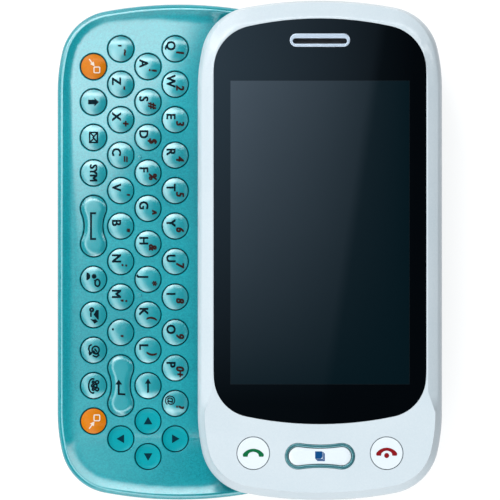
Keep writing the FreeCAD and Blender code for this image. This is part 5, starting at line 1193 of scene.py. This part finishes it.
def sky_glow(finish, x, y):
    """Bright far out to the lower left and far up, and faint over the window, where it has a
    slanting edge."""
    side = band(finish, along(finish, x, y, SKY_SIDE_LEAN), SKY_SIDE_BAND)
    side = finish.math("MULTIPLY", side, SKY_SIDE_LIGHT)
    top = finish.math("MULTIPLY", band(finish, y, SKY_TOP_BAND), SKY_TOP_LIGHT)
    over_x = band(finish, x, SKY_WINDOW_BAND_X)
    over_window = finish.math("MULTIPLY", over_x, band(finish, y, SKY_WINDOW_BAND_Y))
    across = slope(finish, x, SKY_WINDOW_SLOPE_X, 1.0, 0.0)
    up = slope(finish, y, SKY_WINDOW_SLOPE_Y, SKY_WINDOW_LOW_LIGHT, SKY_WINDOW_HIGH_LIGHT)
    slant = along(finish, x, y, SKY_WINDOW_EDGE_LEAN)
    edge = slope(finish, slant, SKY_WINDOW_EDGE, 1.0, SKY_WINDOW_BEYOND_EDGE)
    window = finish.math("MULTIPLY", finish.math("MULTIPLY", across, up), edge)
    window = finish.math("MULTIPLY", window, over_window)
    tint = finish.mix(over_window, WHITE, SKY_WINDOW_TINT)
    return tint, finish.math("ADD", finish.math("ADD", side, top), window)


def deck_glow(finish, x, y):
    """Over the keyboard, bright above a slanting edge and fading downwards and to the right."""
    over = slope(finish, along(finish, x, y, DECK_EDGE_LEAN), DECK_EDGE)
    lit = finish.math("MULTIPLY", over, slope(finish, y, DECK_SLOPE_Y, 0.0, DECK_LIGHT))
    rest = slope(finish, x, DECK_REST_SLOPE_X, DECK_REST_LIGHT, 0.0)
    total = finish.math("ADD", lit, rest)
    for value, limits in ((x, DECK_BAND_X), (y, DECK_BAND_Y)):
        total = finish.math("MULTIPLY", total, band(finish, value, limits))
    return WHITE, total


COVE_STRIP_LEFT = -26 * MM
COVE_STRIP_RIGHT = 17 * MM
COVE_STRIP_Y = -41 * MM
COVE_STRIP_LOW = 16.5 * MM
COVE_STRIP_HIGH = 32 * MM
COVE_STRIP_LIGHT = 4.8
COVE_STRIP_FULL_HEIGHT = 5 * MM
COVE_STRIP_LEFT_FADE = 15 * MM
COVE_STRIP_RIGHT_FADE = 5 * MM


def add_cove_strip():
    """An upright strip over the near edge of the keyboard, which its sloping edge mirrors."""
    corners = [
        (COVE_STRIP_LEFT, COVE_STRIP_Y, COVE_STRIP_LOW),
        (COVE_STRIP_RIGHT, COVE_STRIP_Y, COVE_STRIP_LOW),
        (COVE_STRIP_RIGHT, COVE_STRIP_Y, COVE_STRIP_HIGH),
        (COVE_STRIP_LEFT, COVE_STRIP_Y, COVE_STRIP_HIGH),
    ]
    strip = light_surface("cove_strip", corners)
    finish = Finish("cove_strip_glow")
    x, _, z = finish.axes()
    full_to = COVE_STRIP_LOW + COVE_STRIP_FULL_HEIGHT
    upwards = finish.remap(z, full_to, COVE_STRIP_HIGH, COVE_STRIP_LIGHT, 0.0)
    full_from = COVE_STRIP_LEFT + COVE_STRIP_LEFT_FADE
    from_left = finish.remap(x, COVE_STRIP_LEFT, full_from)
    fades_from = COVE_STRIP_RIGHT - COVE_STRIP_RIGHT_FADE
    from_right = finish.remap(x, fades_from, COVE_STRIP_RIGHT, 1.0, 0.0)
    sideways = finish.math("MULTIPLY", from_left, from_right)
    glowing(finish, WHITE, finish.math("MULTIPLY", upwards, sideways), see_through=True)
    strip.data.materials.append(finish.material)


dress_nodes()
flex_springs()
print_keyboard()
print_front_keys()
add_camera()
add_floor()
add_world()
add_softbox("key_light", KEY_LIGHT_PLACE, KEY_LIGHT_SIDE, KEY_LIGHT_POWER)
add_softbox("fill_light", FILL_LIGHT_PLACE, FILL_LIGHT_SIDE, FILL_LIGHT_POWER)
reflection_card("sky_card", SKY_CARD_HEIGHT, sky_glow, see_through=False)
reflection_card("deck_card", DECK_CARD_HEIGHT, deck_glow, see_through=True)
add_cove_strip()

bpy.context.scene.view_settings.view_transform = "Standard"
